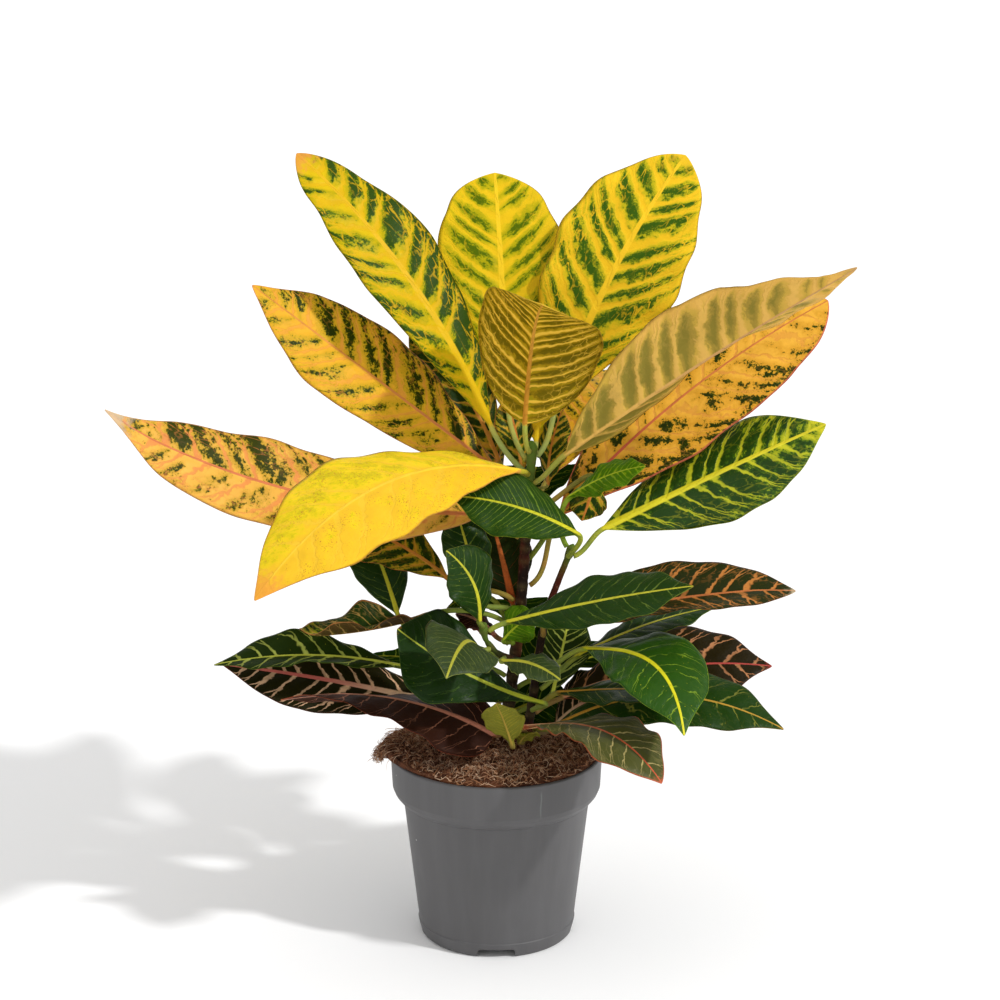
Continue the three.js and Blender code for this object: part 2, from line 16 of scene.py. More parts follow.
import bpy
import numpy as np
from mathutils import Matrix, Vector

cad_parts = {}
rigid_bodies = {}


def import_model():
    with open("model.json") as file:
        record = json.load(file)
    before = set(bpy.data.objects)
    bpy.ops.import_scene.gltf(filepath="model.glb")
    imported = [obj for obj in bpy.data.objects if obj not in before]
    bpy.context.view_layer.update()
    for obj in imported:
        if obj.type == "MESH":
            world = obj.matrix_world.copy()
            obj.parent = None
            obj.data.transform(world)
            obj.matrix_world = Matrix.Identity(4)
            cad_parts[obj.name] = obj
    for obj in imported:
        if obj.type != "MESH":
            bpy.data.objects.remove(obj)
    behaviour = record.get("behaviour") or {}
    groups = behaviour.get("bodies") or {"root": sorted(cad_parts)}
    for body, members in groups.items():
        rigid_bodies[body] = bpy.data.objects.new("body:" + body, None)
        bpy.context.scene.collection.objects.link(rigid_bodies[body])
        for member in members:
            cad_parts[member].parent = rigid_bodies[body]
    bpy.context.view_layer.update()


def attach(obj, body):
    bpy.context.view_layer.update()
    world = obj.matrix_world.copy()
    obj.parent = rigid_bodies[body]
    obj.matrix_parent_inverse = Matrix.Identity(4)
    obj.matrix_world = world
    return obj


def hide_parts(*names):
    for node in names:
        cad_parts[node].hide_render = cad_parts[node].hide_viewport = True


log = logging.getLogger("croton")
Array = np.ndarray
Material = bpy.types.Material
Node = bpy.types.Node
Piece = bpy.types.Object
Point = tuple[float, float, float]
Range = tuple[float, float]
Socket = bpy.types.NodeSocket
Tree = bpy.types.NodeTree

MM = 0.001
BODY = "root"
UP = np.array([0.0, 0.0, 1.0])


# ---- small helpers


def unit(vectors: Array) -> Array:
    """The vectors, each divided by its own length."""
    return vectors / np.linalg.norm(vectors, axis=-1, keepdims=True)


def square_to(vectors: Array, along: Array) -> Array:
    """The vectors less their part along unit directions, made unit length."""
    return unit(vectors - np.sum(vectors * along, axis=-1, keepdims=True) * along)


def smooth(value: Array, low: float, high: float) -> Array:
    """0 below low, 1 above high, and 3t^2 - 2t^3 between them."""
    t = np.clip((value - low) / (high - low), 0, 1)
    return t * t * (3 - 2 * t)


def cubic(handles: Array, t: Array) -> Array:
    """Points of a cubic curve: handles weighted by s^3, 3s^2t, 3st^2, t^3 with s = 1 - t.

    Args:
        handles: the four handles.
        t: shares of the way, from 0 to 1.

    Returns:
        A point for each share.
    """
    t = t[:, None]
    s = 1 - t
    return (
        s**3 * handles[0]
        + 3 * s * s * t * handles[1]
        + 3 * s * t * t * handles[2]
        + t**3 * handles[3]
    )


def cubic_slope(handles: Array, t: Array) -> Array:
    """Unit tangents of that curve: its three legs weighted by s^2, 2st and t^2.

    Args:
        handles: the four handles.
        t: shares of the way, from 0 to 1.

    Returns:
        A unit vector for each share.
    """
    t = t[:, None]
    s = 1 - t
    legs = np.diff(handles, axis=0)
    return unit(s * s * legs[0] + 2 * s * t * legs[1] + t * t * legs[2])


def colour(code: str) -> tuple[float, float, float, float]:
    """A screen colour code as the linear colour that shaders take.

    Args:
        code: Six hexadecimal digits, red, green and blue.

    Returns:
        Linear red, green, blue and an alpha of 1.
    """
    screen = np.array([int(code[i : i + 2], 16) / 255 for i in (0, 2, 4)])
    linear = np.where(screen <= 0.04045, screen / 12.92, ((screen + 0.055) / 1.055) ** 2.4)
    return (float(linear[0]), float(linear[1]), float(linear[2]), 1.0)


@dataclass(frozen=True)
class Ripples:
    """Smooth unevenness: a sum of plane waves in seeded random directions."""

    seed: int
    wavelength: float
    waves: int = 7

    def at(self, *place: Array) -> Array:
        """The sum of sin(k.p + phase) over the waves, scaled to about -1..1.

        Args:
            place: The coordinates, one array an axis.

        Returns:
            One value for each place.
        """
        rng = np.random.default_rng(self.seed)
        total = np.zeros(np.broadcast(*place).shape)
        for _ in range(self.waves):
            heading = unit(rng.normal(size=len(place)))
            pitch = 2 * math.pi / (self.wavelength * rng.uniform(0.6, 1.7))
            phase = rng.uniform(0, 2 * math.pi)
            total = total + np.sin(pitch * sum(h * p for h, p in zip(heading, place)) + phase)
        return total / math.sqrt(2 * self.waves)


def grid_faces(rows: int, columns: int, closed: bool) -> Array:
    """Quads between neighbouring rows of a grid, joined round where it is closed.

    Args:
        rows: rows of the grid.
        columns: points in a row.
        closed: whether each row is a ring.

    Returns:
        Four vertex numbers a face.
    """
    i, j = np.meshgrid(
        np.arange(rows - 1), np.arange(columns if closed else columns - 1), indexing="ij"
    )
    k = (j + 1) % columns
    quads = [i * columns + j, i * columns + k, (i + 1) * columns + k, (i + 1) * columns + j]
    return np.stack([q.ravel() for q in quads], axis=1)


def cap_faces(ring: Array, centre: int, turned: bool) -> Array:
    """Triangles from a centre vertex to a ring, facing backwards where turned.

    Args:
        ring: the ring's vertex numbers.
        centre: the centre's vertex number.
        turned: whether they face backwards.

    Returns:
        Three vertex numbers a face.
    """
    after = np.roll(ring, -1)
    middle = np.full(len(ring), centre)
    order = [middle, after, ring] if turned else [middle, ring, after]
    return np.stack(order, axis=1)


def tube_faces(rows: int, sides: int) -> list[Array]:
    """The faces of a tube of rings, closed by the two vertices that follow them.

    Args:
        rows: rings along the tube.
        sides: points in a ring.

    Returns:
        The quads and the two caps.
    """
    ring = np.arange(sides)
    count = rows * sides
    return [
        grid_faces(rows, sides, closed=True),
        cap_faces(ring, count, turned=True),
        cap_faces(ring + count - sides, count + 1, turned=False),
    ]


def make_piece(
    name: str, points: Array, faces: list[Array], fields: dict[str, Array] | None = None
) -> Piece:
    """A smooth-shaded object from points in millimetres and index arrays of its faces.

    Args:
        name: The object's name.
        points: One row a vertex, in millimetres.
        faces: Arrays of corners, one row a face, all rows of one array alike.
        fields: Values for the shader, one row a vertex: vectors or single numbers.

    Returns:
        The object, linked to the scene, at the origin.
    """
    mesh = bpy.data.meshes.new(name)
    corners = np.concatenate([f.ravel() for f in faces]).astype(np.int32)
    totals = np.concatenate([np.full(len(f), f.shape[1]) for f in faces]).astype(np.int32)
    starts = np.concatenate([[0], np.cumsum(totals)[:-1]]).astype(np.int32)
    mesh.vertices.add(len(points))
    mesh.vertices.foreach_set("co", (points * MM).astype(np.float32).ravel())
    mesh.loops.add(len(corners))
    mesh.loops.foreach_set("vertex_index", corners)
    mesh.polygons.add(len(totals))
    mesh.polygons.foreach_set("loop_start", starts)
    mesh.polygons.foreach_set("loop_total", totals)
    mesh.polygons.foreach_set("use_smooth", np.ones(len(totals), bool))
    for field, values in (fields or {}).items():
        if values.ndim == 2:
            layer = mesh.attributes.new(field, "FLOAT_VECTOR", "POINT")
            layer.data.foreach_set("vector", values.astype(np.float32).ravel())
        else:
            layer = mesh.attributes.new(field, "FLOAT", "POINT")
            layer.data.foreach_set("value", values.astype(np.float32))
    mesh.update(calc_edges=True)
    mesh.validate()
    piece = bpy.data.objects.new(name, mesh)
    bpy.context.scene.collection.objects.link(piece)
    return piece


def place(piece: Piece, material: Material, slot: str, *nodes: str) -> None:
    """Gives a finished piece its material and its place in the frame.

    Args:
        piece: The finished object.
        material: Its material.
        slot: The record's material slot; not used.
        nodes: The CAD nodes that it stands for.
    """
    if not piece.data.materials:
        piece.data.materials.append(material)
    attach(piece, BODY)
    for node in nodes:
        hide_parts(node)
    log.info("%s: %d faces", piece.name, len(piece.data.polygons))


# ---- shader sheets


class Sheet:
    """Writes shader nodes into a tree, one call a node."""

    def __init__(self, tree: Tree) -> None:
        """Starts writing in a tree."""
        self.tree = tree

    def node(self, kind: str, feeds: dict | None = None, **settings: object) -> Node:
        """A node with its settings, its sockets set or linked.

        Args:
            kind: The node's type.
            feeds: Values, colour codes or sockets by input name or number.
            settings: The node's own properties.

        Returns:
            The new node.
        """
        node = self.tree.nodes.new(kind)
        for key, value in settings.items():
            setattr(node, key, value)
        for key, value in (feeds or {}).items():
            if isinstance(value, Socket):
                self.tree.links.new(value, node.inputs[key])
            else:
                node.inputs[key].default_value = colour(value) if isinstance(value, str) else value
        return node

    def math(self, operation: str, *values: object, clamp: bool = False) -> Socket:
        """One Math node."""
        feeds = dict(enumerate(values))
        return self.node("ShaderNodeMath", feeds, operation=operation, use_clamp=clamp).outputs[0]

    def times(self, first: object, second: object) -> Socket:
        """The product of two values."""
        return self.math("MULTIPLY", first, second)

    def less(self, first: object, second: object) -> Socket:
        """The first value less the second."""
        return self.math("SUBTRACT", first, second)

    def total(self, *values: object) -> Socket:
        """The sum of any number of values.

        Args:
            values: numbers or sockets.

        Returns:
            Their sum.
        """
        result = values[0]
        for value in values[1:]:
            result = self.math("ADD", result, value)
        return result

    def rise(self, value: object, low: object, high: object) -> Socket:
        """0 below low and 1 above high, smoothly between them."""
        feeds = {0: value, 1: low, 2: high, 3: 0.0, 4: 1.0}
        node = self.node("ShaderNodeMapRange", feeds, interpolation_type="SMOOTHSTEP")
        return node.outputs[0]

    def fall(self, value: object, low: object, high: object) -> Socket:
        """1 below low and 0 above high, smoothly between them."""
        return self.less(1.0, self.rise(value, low, high))

    def blend(self, share: object, first: object, second: object) -> Socket:
        """The first colour where share is 0 and the second where it is 1."""
        feeds = {0: share, 6: first, 7: second}
        node = self.node("ShaderNodeMix", feeds, data_type="RGBA", clamp_factor=True)
        return node.outputs[2]

    def coat(
        self, paint: object, over: object, mask: object, share: object = 1.0
    ) -> Socket:
        """The paint with another colour over it, by the share where the mask is 1."""
        return self.blend(mask if share == 1.0 else self.times(mask, share), paint, over)

    def between(self, share: object, first: object, second: object) -> Socket:
        """The first value where share is 0 and the second where it is 1."""
        feeds = {0: share, 2: first, 3: second}
        return self.node("ShaderNodeMix", feeds, data_type="FLOAT").outputs[0]

    def vector(self, x: object, y: object, z: object = 0.0) -> Socket:
        """A vector from three values."""
        return self.node("ShaderNodeCombineXYZ", {0: x, 1: y, 2: z}).outputs[0]

    def parts(self, vector: object) -> tuple:
        """The three values of a vector."""
        return tuple(self.node("ShaderNodeSeparateXYZ", {0: vector}).outputs)

    def field(self, name: str) -> Node:
        """A mesh's own values of one name."""
        return self.node("ShaderNodeAttribute", attribute_name=name)

    def noise(
        self, where: object, scale: float, detail: float = 2.0, rough: float = 0.5
    ) -> Socket:
        """Cloudy noise of 0 to 1."""
        feeds = {"Vector": where, "Scale": scale, "Detail": detail, "Roughness": rough}
        return self.node("ShaderNodeTexNoise", feeds).outputs[0]

    def shaken(self, where: object, amount: float) -> Socket:
        """A place moved by cloudy noise, by up to about half the amount each way.

        Args:
            where: the place.
            amount: the reach of the move.

        Returns:
            The moved place.
        """
        feeds = {"Vector": where, "Scale": 0.9 / amount, "Detail": 2.0}
        cloud = self.node("ShaderNodeTexNoise", feeds).outputs[1]
        feeds = {0: cloud, 1: (0.5, 0.5, 0.5)}
        moved = self.node("ShaderNodeVectorMath", feeds, operation="SUBTRACT").outputs[0]
        feeds = {0: moved, 1: (amount, amount, amount), 2: where}
        return self.node("ShaderNodeVectorMath", feeds, operation="MULTIPLY_ADD").outputs[0]

    def centred(self, value: object, gain: object) -> Socket:
        """A value of 0 to 1 less a half, times the gain."""
        return self.times(self.less(value, 0.5), gain)

    def cells(self, where: object, scale: float, feature: str) -> Socket:
        """The distance that a cell pattern gives, to its edges or its middles."""
        feeds = {"Vector": where, "Scale": scale}
        return self.node("ShaderNodeTexVoronoi", feeds, feature=feature).outputs["Distance"]


def new_group(name: str, takes: dict[str, object], gives: dict[str, str]) -> tuple:
    """An empty node group with its sockets.

    Args:
        name: The group's name.
        takes: Input names with default values: a number or a colour.
        gives: Output names with socket types.

    Returns:
        The sheet, the group's input sockets by name, and its output node.
    """
    tree = bpy.data.node_groups.new(name, "ShaderNodeTree")
    for label, value in takes.items():
        kind = "NodeSocketColor" if isinstance(value, tuple) else "NodeSocketFloat"
        socket = tree.interface.new_socket(label, in_out="INPUT", socket_type=kind)
        socket.default_value = value
    for label, kind in gives.items():
        tree.interface.new_socket(label, in_out="OUTPUT", socket_type=kind)
    sheet = Sheet(tree)
    inputs = sheet.node("NodeGroupInput").outputs
    return sheet, {label: inputs[label] for label in takes}, sheet.node("NodeGroupOutput")


def new_material(name: str) -> tuple[Material, Sheet, Node]:
    """A material with an empty tree but for its output.

    Args:
        name: The material's name.

    Returns:
        The material, its sheet and its output node.
    """
    material = bpy.data.materials.new(name)
    material.use_nodes = True
    material.node_tree.nodes.clear()
    sheet = Sheet(material.node_tree)
    return material, sheet, sheet.node("ShaderNodeOutputMaterial")


def surface(sheet: Sheet, end: Node, feeds: dict, height: object, depth: float) -> None:
    """Closes a material: a Principled surface with its bump.

    Args:
        sheet: The material's sheet.
        end: The material's output node.
        feeds: The Principled surface's inputs.
        height: The socket with the relief, about -1 to 1.
        depth: What a height of 1 stands for, in millimetres.
    """
    bump = sheet.node("ShaderNodeBump", {"Height": height, "Distance": depth * MM, "Strength": 1.0})
    shader = sheet.node("ShaderNodeBsdfPrincipled", {**feeds, "Normal": bump.outputs[0]})
    sheet.tree.links.new(shader.outputs[0], end.inputs[0])


# ---- the pot


@dataclass
class NurseryPot:
    """A gray pressed pot, 13 cm across the rim, with a collar and a notched foot."""

    height: float = 117.0
    rim_radius: float = 65.0
    rim_rounding: float = 0.7
    collar_radius: float = 64.0
    collar_bottom: float = 96.0
    collar_rounding: float = 1.4
    collar_drop: float = 3.4
    shoulder_radius: float = 57.3
    shoulder_height: float = 87.4
    shoulder_flare: float = 2.4
    shoulder_rise: float = 1.6
    foot_band_radius: float = 48.3
    foot_band_height: float = 9.0
    foot_band_step: float = 0.5
    foot_radius: float = 47.3
    foot_rounding: float = 1.6
    foot_width: float = 3.0
    wall: float = 1.6
    floor_underside: float = 4.0
    floor_thickness: float = 1.8
    floor_rounding: float = 1.0
    hub_radius: float = 12.0
    hub_taper: float = 1.0
    notch_count: int = 4
    notch_width: float = 23.0
    notch_height: float = 5.7
    notch_rounding: float = 2.2
    drain_count: int = 8
    drain_radius: float = 3.5
    drain_circle: float = 30.0
    sides: int = 192
    fillet: float = 0.45
    cut: float = 2.0
    sharp_angle: float = 35.0

    def inside(self) -> list[Range]:
        """The inside as radius and height, from the floor to the rim.

        Returns:
            Pairs of radius and height.
        """
        wall = self.wall
        floor = self.floor_underside + self.floor_thickness
        collar_foot = self.collar_bottom - self.collar_drop
        return [
            (self.foot_radius - wall - self.floor_rounding, floor),
            (self.foot_band_radius - wall, self.foot_band_height),
            (self.shoulder_radius - wall, self.shoulder_height),
            (self.collar_radius - wall - self.collar_rounding, collar_foot),
            (self.collar_radius - wall, self.collar_bottom),
            (self.rim_radius - wall - self.rim_rounding, self.height),
        ]

    def outside(self) -> list[Range]:
        """The outside, from the rim round the foot to the edge of the hub.

        Returns:
            Pairs of radius and height.
        """
        foot_inside = self.foot_radius - self.foot_width - self.foot_rounding
        flare_height = self.shoulder_height + self.shoulder_rise
        return [
            (self.rim_radius - self.rim_rounding, self.height),
            (self.rim_radius, self.height - self.rim_rounding),
            (self.collar_radius, self.collar_bottom),
            (self.collar_radius - self.collar_rounding, self.collar_bottom - self.collar_drop),
            (self.shoulder_radius + self.shoulder_flare, flare_height),
            (self.shoulder_radius, self.shoulder_height),
            (self.foot_band_radius, self.foot_band_height + self.foot_band_step),
            (self.foot_band_radius + self.foot_band_step, self.foot_band_height),
            (self.foot_radius, self.foot_rounding),
            (self.foot_radius - self.foot_rounding, 0.0),
            (foot_inside, 0.0),
            (foot_inside, self.floor_underside),
            (self.hub_radius + self.hub_taper, self.floor_underside),
            (self.hub_radius, 0.0),
        ]

    def rounded(self, outline: Array) -> Array:
        """The outline with every corner turned into a small arc.

        A corner p becomes five points of the quadratic curve from p towards its
        two neighbours by the fillet, or by a third of the leg where that is less.

        Args:
            outline: Radius and height of each corner.

        Returns:
            Radius and height of each point of the rounded outline.
        """
        before = outline[:-2] - outline[1:-1]
        after = outline[2:] - outline[1:-1]
        legs = [np.linalg.norm(v, axis=1, keepdims=True) for v in (before, after)]
        near = [np.minimum(self.fillet, leg / 3) / leg for leg in legs]
        start = outline[1:-1] + before * near[0]
        end = outline[1:-1] + after * near[1]
        t = np.linspace(0, 1, 5)[:, None, None]
        arcs = (1 - t) ** 2 * start + 2 * t * (1 - t) * outline[1:-1] + t * t * end
        middle = arcs.transpose(1, 0, 2).reshape(-1, 2)
        return np.vstack([outline[:1], middle, outline[-1:]])

    def shell(self) -> Piece:
        """The turned wall: the rounded outline carried round the axis, poles closed.

        Returns:
            The wall, not yet cut.
        """
        corners = [*self.inside(), *self.outside()]
        floor = self.floor_underside + self.floor_thickness
        outline = self.rounded(np.array([(0.0, floor), *corners, (0.0, 0.0)]))[1:-1]
        angle = np.linspace(0, 2 * math.pi, self.sides, endpoint=False)
        ring = np.stack([np.cos(angle), np.sin(angle), np.zeros(self.sides)], axis=1)
        wall = outline[:, None, :1] * ring + outline[:, None, 1:] * UP
        points = np.vstack([wall.reshape(-1, 3), [[0, 0, floor], [0, 0, 0]]])
        faces = tube_faces(len(outline), self.sides)
        return make_piece("croton_pot", points, [outward(points, faces, f) for f in faces])

    def cutters(self) -> list[Piece]:
        """The notches through the foot ring and the drain holes through the floor.

        Returns:
            One cutter for each opening.
        """
        pieces = []
        depth = self.foot_width + 2 * self.foot_rounding + 2 * self.cut
        reach = self.foot_radius + self.cut - depth / 2
        for k in range(self.notch_count):
            angle = math.radians(-90 + 360 * k / self.notch_count)
            size = (depth / 2, self.notch_width / 2, self.notch_height)
            block = rounded_prism(*size, self.notch_rounding)
            pieces.append(make_cutter(f"notch_{k}", turned_out(block, angle, reach)))
        floor = self.floor_underside + self.floor_thickness
        for k in range(self.drain_count):
            angle = math.radians(360 * (k + 0.5) / self.drain_count)
            plug = round_prism(self.drain_radius, 2 * floor)
            pieces.append(make_cutter(f"drain_{k}", turned_out(plug, angle, self.drain_circle)))
        return pieces

    def build(self, material: Material) -> None:
        """Turns the wall, cuts its openings and sets it in the frame.

        Args:
            material: the pot's plastic.
        """
        piece = self.shell()
        for cutter in self.cutters():
            cut = piece.modifiers.new(cutter.name, "BOOLEAN")
            cut.operation = "DIFFERENCE"
            cut.solver = "EXACT"
            cut.object = cutter
        settle(piece, self.sharp_angle)
        for cutter in [o for o in bpy.data.objects if o.name.startswith(("notch_", "drain_"))]:
            bpy.data.objects.remove(cutter)
        place(piece, material, "pot", "pot")


def outward(points: Array, faces: list[Array], chosen: Array) -> Array:
    """The chosen faces, turned round if the closed surface they belong to is inside out.

    The sign of the enclosed volume, the sum over all triangles of a.(b x c) / 6,
    tells which way the surface faces.

    Args:
        points: The surface's vertices.
        faces: All its faces.
        chosen: The faces to return.

    Returns:
        The chosen faces, facing out.
    """
    volume = 0.0
    for group in faces:
        for k in range(2, group.shape[1]):
            a, b, c = (points[group[:, i]] for i in (0, k - 1, k))
            volume += float(np.sum(a * np.cross(b, c)))
    return chosen if volume > 0 else chosen[:, ::-1]


def rounded_prism(depth: float, width: float, height: float, radius: float) -> tuple:
    """A block along X whose upper long edges are round: two end rings of one outline.

    Args:
        depth: Half its length along X.
        width: Half its width along Y.
        height: How far it reaches above and below zero.
        radius: The rounding of its upper edges.

    Returns:
        Its points and the number of points in a ring.
    """
    turn = np.linspace(0, math.pi / 2, 7)
    middle = np.array([width - radius, height - radius])
    right = middle + radius * np.stack([np.cos(turn), np.sin(turn)], axis=1)
    left = right[::-1] * (-1, 1)
    outline = np.vstack([[(width, -height)], right, left, [(-width, -height)]])
    ends = [np.column_stack([np.full(len(outline), x), outline]) for x in (-depth, depth)]
    return np.vstack(ends), len(outline)


def round_prism(radius: float, height: float, sides: int = 24) -> tuple:
    """An upright round plug: a ring of points below and one above.

    Args:
        radius: Its radius.
        height: Its height above zero, and its depth below.
        sides: The number of points in a ring.

    Returns:
        Its points and the number of points in a ring.
    """
    turn = np.linspace(0, 2 * math.pi, sides, endpoint=False)
    ring = radius * np.stack([np.cos(turn), np.sin(turn)], axis=1)
    ends = [np.column_stack([ring, np.full(sides, z)]) for z in (-height, height)]
    return np.vstack(ends), sides


def turned_out(block: tuple, angle: float, reach: float) -> tuple:
    """A block moved out along X by reach and turned about the pot's axis.

    Args:
        block: its points and the number in a ring.
        angle: the turn in radians.
        reach: the way out along X.

    Returns:
        The moved points and the same number.
    """
    points, count = block
    c, s = math.cos(angle), math.sin(angle)
    x, y = points[:, 0] + reach, points[:, 1]
    return np.column_stack([x * c - y * s, x * s + y * c, points[:, 2]]), count


def make_cutter(name: str, block: tuple) -> Piece:
    """A closed prism from two like rings of points.

    Args:
        name: the cutter's name.
        block: its points and the number in a ring.

    Returns:
        The cutter.
    """
    points, count = block
    ring = np.arange(count)
    faces = [grid_faces(2, count, closed=True), ring[None, ::-1], ring[None] + count]
    piece = make_piece(name, points, [outward(points, faces, f) for f in faces])
    piece.hide_render = True
    return piece


def settle(piece: Piece, sharp: float) -> None:
    """Applies a piece's modifiers and keeps its edges crisp above an angle in degrees.

    Args:
        piece: the piece.
        sharp: the angle that stays crisp.
    """
    graph = bpy.context.evaluated_depsgraph_get()
    finished = bpy.data.meshes.new_from_object(piece.evaluated_get(graph))
    piece.modifiers.clear()
    piece.data = finished
    finished.polygons.foreach_set("use_smooth", np.ones(len(finished.polygons), bool))
    finished.set_sharp_from_angle(angle=math.radians(sharp))


# ---- the soil


@dataclass
class CoirSoil:
    """The heap of coir in the pot, its loose fibres and the tuft over the rim."""

    pot: NurseryPot
    mound: float = 7.0
    edge: float = 1.5
    bevel: float = 1.0
    lump_height: float = 1.6
    spill: float = 7.0
    spill_height: float = 4.0
    spill_azimuth: float = 178.0
    spill_spread: float = 32.0
    gap: float = 0.35
    sides: int = 216
    rings: int = 64
    fibre_count: int = 2600
    fibre_steps: int = 9
    fibre_length: Range = (4.0, 17.0)
    fibre_radius: Range = (0.11, 0.3)
    crumb_count: int = 900
    crumb_size: Range = (0.35, 1.3)
    fringe_count: int = 150
    fringe_radius: Range = (0.1, 0.24)
    ball_steps: int = 10
    ball_length: Range = (4.0, 12.0)
    ball_radius: Range = (0.1, 0.26)
    sag: float = 0.05
    tuft_count: int = 420
    tuft_place: Point = (-69.5, -4.0, 119.5)
    tuft_size: Point = (6.5, 9.0, 5.0)
    ridge_count: int = 260
    ridge_place: Point = (-47.0, 4.0, 125.5)
    ridge_size: Point = (17.0, 13.0, 4.5)
    seed: int = 11

    def lip(self) -> float:
        """The radius of the pot's mouth, less the gap."""
        return self.pot.inside()[-1][0] - self.gap

    def spill_at(self, angle: Array) -> Array:
        """How far the heap leans out: a bell curve about the spill's azimuth."""
        away = (np.degrees(angle) - self.spill_azimuth + 180) % 360 - 180
        return np.exp(-((away / self.spill_spread) ** 2))

    def lumps(self, x: Array, y: Array) -> Array:
        """Lumps of coir: crossed waves, one pair coarse and one fine."""
        coarse = np.sin(x * 0.21 + 1.3) * np.cos(y * 0.19 - 0.4)
        fine = np.sin(x * 0.47 - y * 0.33) * np.cos(y * 0.52 + x * 0.18 + 0.7)
        return self.lump_height * (0.6 * coarse + 0.4 * fine)

    def height(self, x: Array, y: Array) -> Array:
        """The heap's top: the rim's height, a dome, the lumps and the spill's rise.

        With s the radius over the mouth's radius, the dome is (mound - edge)(1 - s^2).
        The spill adds its rise near the edge, by smooth steps of s.

        Args:
            x: Across the pot.
            y: Away from the viewer.

        Returns:
            The height at each place.
        """
        share = np.hypot(x, y) / (self.lip() - self.bevel)
        dome = (self.mound - self.edge) * (1 - np.minimum(share, 1) ** 2)
        leaning = self.spill_at(np.arctan2(y, x)) * smooth(share, 0.72, 1.0)
        base = self.pot.height + self.edge + dome + self.spill_height * leaning
        return base + self.lumps(x, y) * smooth(share, 1.02, 0.8)

    def crumbs_at(self, x: Array, y: Array) -> Array:
        """Fine roughness of the heap: ripples of 9, 5, 2.4 and 1.3 mm.

        Args:
            x: places along X.
            y: places along Y.

        Returns:
            The height that each place adds.
        """
        coarse = Ripples(self.seed, 5.0, 9).at(x, y) + 1.1 * Ripples(self.seed + 3, 9.0).at(x, y)
        middle = Ripples(self.seed + 1, 2.4, 9).at(x, y)
        fine = Ripples(self.seed + 2, 1.3, 9).at(x, y)
        return 0.9 * coarse + 0.55 * middle + 0.3 * fine

    def heap(self) -> Piece:
        """The heap: rings down the pot's inside and rings over the rough top.

        Returns:
            The heap.
        """
        angle = np.linspace(0, 2 * math.pi, self.sides, endpoint=False)
        c, s = np.cos(angle), np.sin(angle)

        def ring(radius: Array | float, level: Array | float) -> Array:
            """One ring of the heap's points."""
            return np.column_stack([radius * c, radius * s, level + 0 * c])

        leaning = self.spill_at(angle)
        rows = [ring(r - self.gap, h) for r, h in self.pot.inside()]
        rows[0][:, 2] += self.gap
        top = self.pot.height + self.gap
        rows.append(ring(self.lip(), top))
        rows.append(ring(self.lip() + self.spill * leaning, top + self.edge / 4 * (1 - leaning)))
        rim = self.lip() - self.bevel + self.spill * leaning
        for share in np.linspace(1, 0, self.rings, endpoint=False):
            radius = rim * share + (self.lip() - self.bevel - rim) * share * smooth(
                np.array(share), 1.0, 0.7
            )
            x, y = radius * c, radius * s
            rough = self.crumbs_at(x, y) * min(1.0, 0.35 + (1 - share) * 8)
            rows.append(ring(radius, self.height(x, y) + rough))
        points = np.vstack([*rows, [[0, 0, rows[0][0, 2]], [0, 0, rows[-1][:, 2].mean()]]])
        faces = tube_faces(len(rows), self.sides)
        return make_piece("coir_heap", points, [outward(points, faces, f) for f in faces])

    def strands(self, paths: Array, radius: Array, tones: Array, name: str) -> Piece:
        """Three-sided fibres along paths, thinning to both ends.

        Every cross-section is a triangle square to the path, of the fibre's radius
        times sqrt(sin(pi t)) but at least a quarter of it.

        Args:
            paths: Points along each fibre: fibres by steps by three.
            radius: Each fibre's radius.
            tones: Each fibre's own shade, from 0 to 1.
            name: The object's name.

        Returns:
            One object with all of them.
        """
        count, steps, _ = paths.shape
        along = unit(np.gradient(paths, axis=1))
        side = square_to(np.broadcast_to(UP + (0.01, 0.02, 0), along.shape), along)
        back = np.cross(along, side)
        t = np.linspace(0, 1, steps)
        taper = np.maximum(0.25, np.sqrt(np.sin(math.pi * t)))
        turn = np.arange(3) * 2 * math.pi / 3
        reach = radius[:, None, None] * taper[None, :, None]
        ring = (
            reach[..., None] * np.cos(turn)[None, None, :, None] * side[:, :, None]
            + reach[..., None] * np.sin(turn)[None, None, :, None] * back[:, :, None]
        )
        points = (paths[:, :, None] + ring).reshape(-1, 3)
        one = grid_faces(steps, 3, closed=True)
        starts = np.arange(count) * steps * 3
        quads = (one[None] + starts[:, None, None]).reshape(-1, 4)
        first = np.array([[2, 1, 0]]) + starts[:, None]
        last = np.array([[0, 1, 2]]) + starts[:, None] + (steps - 1) * 3
        shade = np.repeat(tones, steps * 3)
        return make_piece(name, points, [quads, first, last], {"fibre_tone": shade})

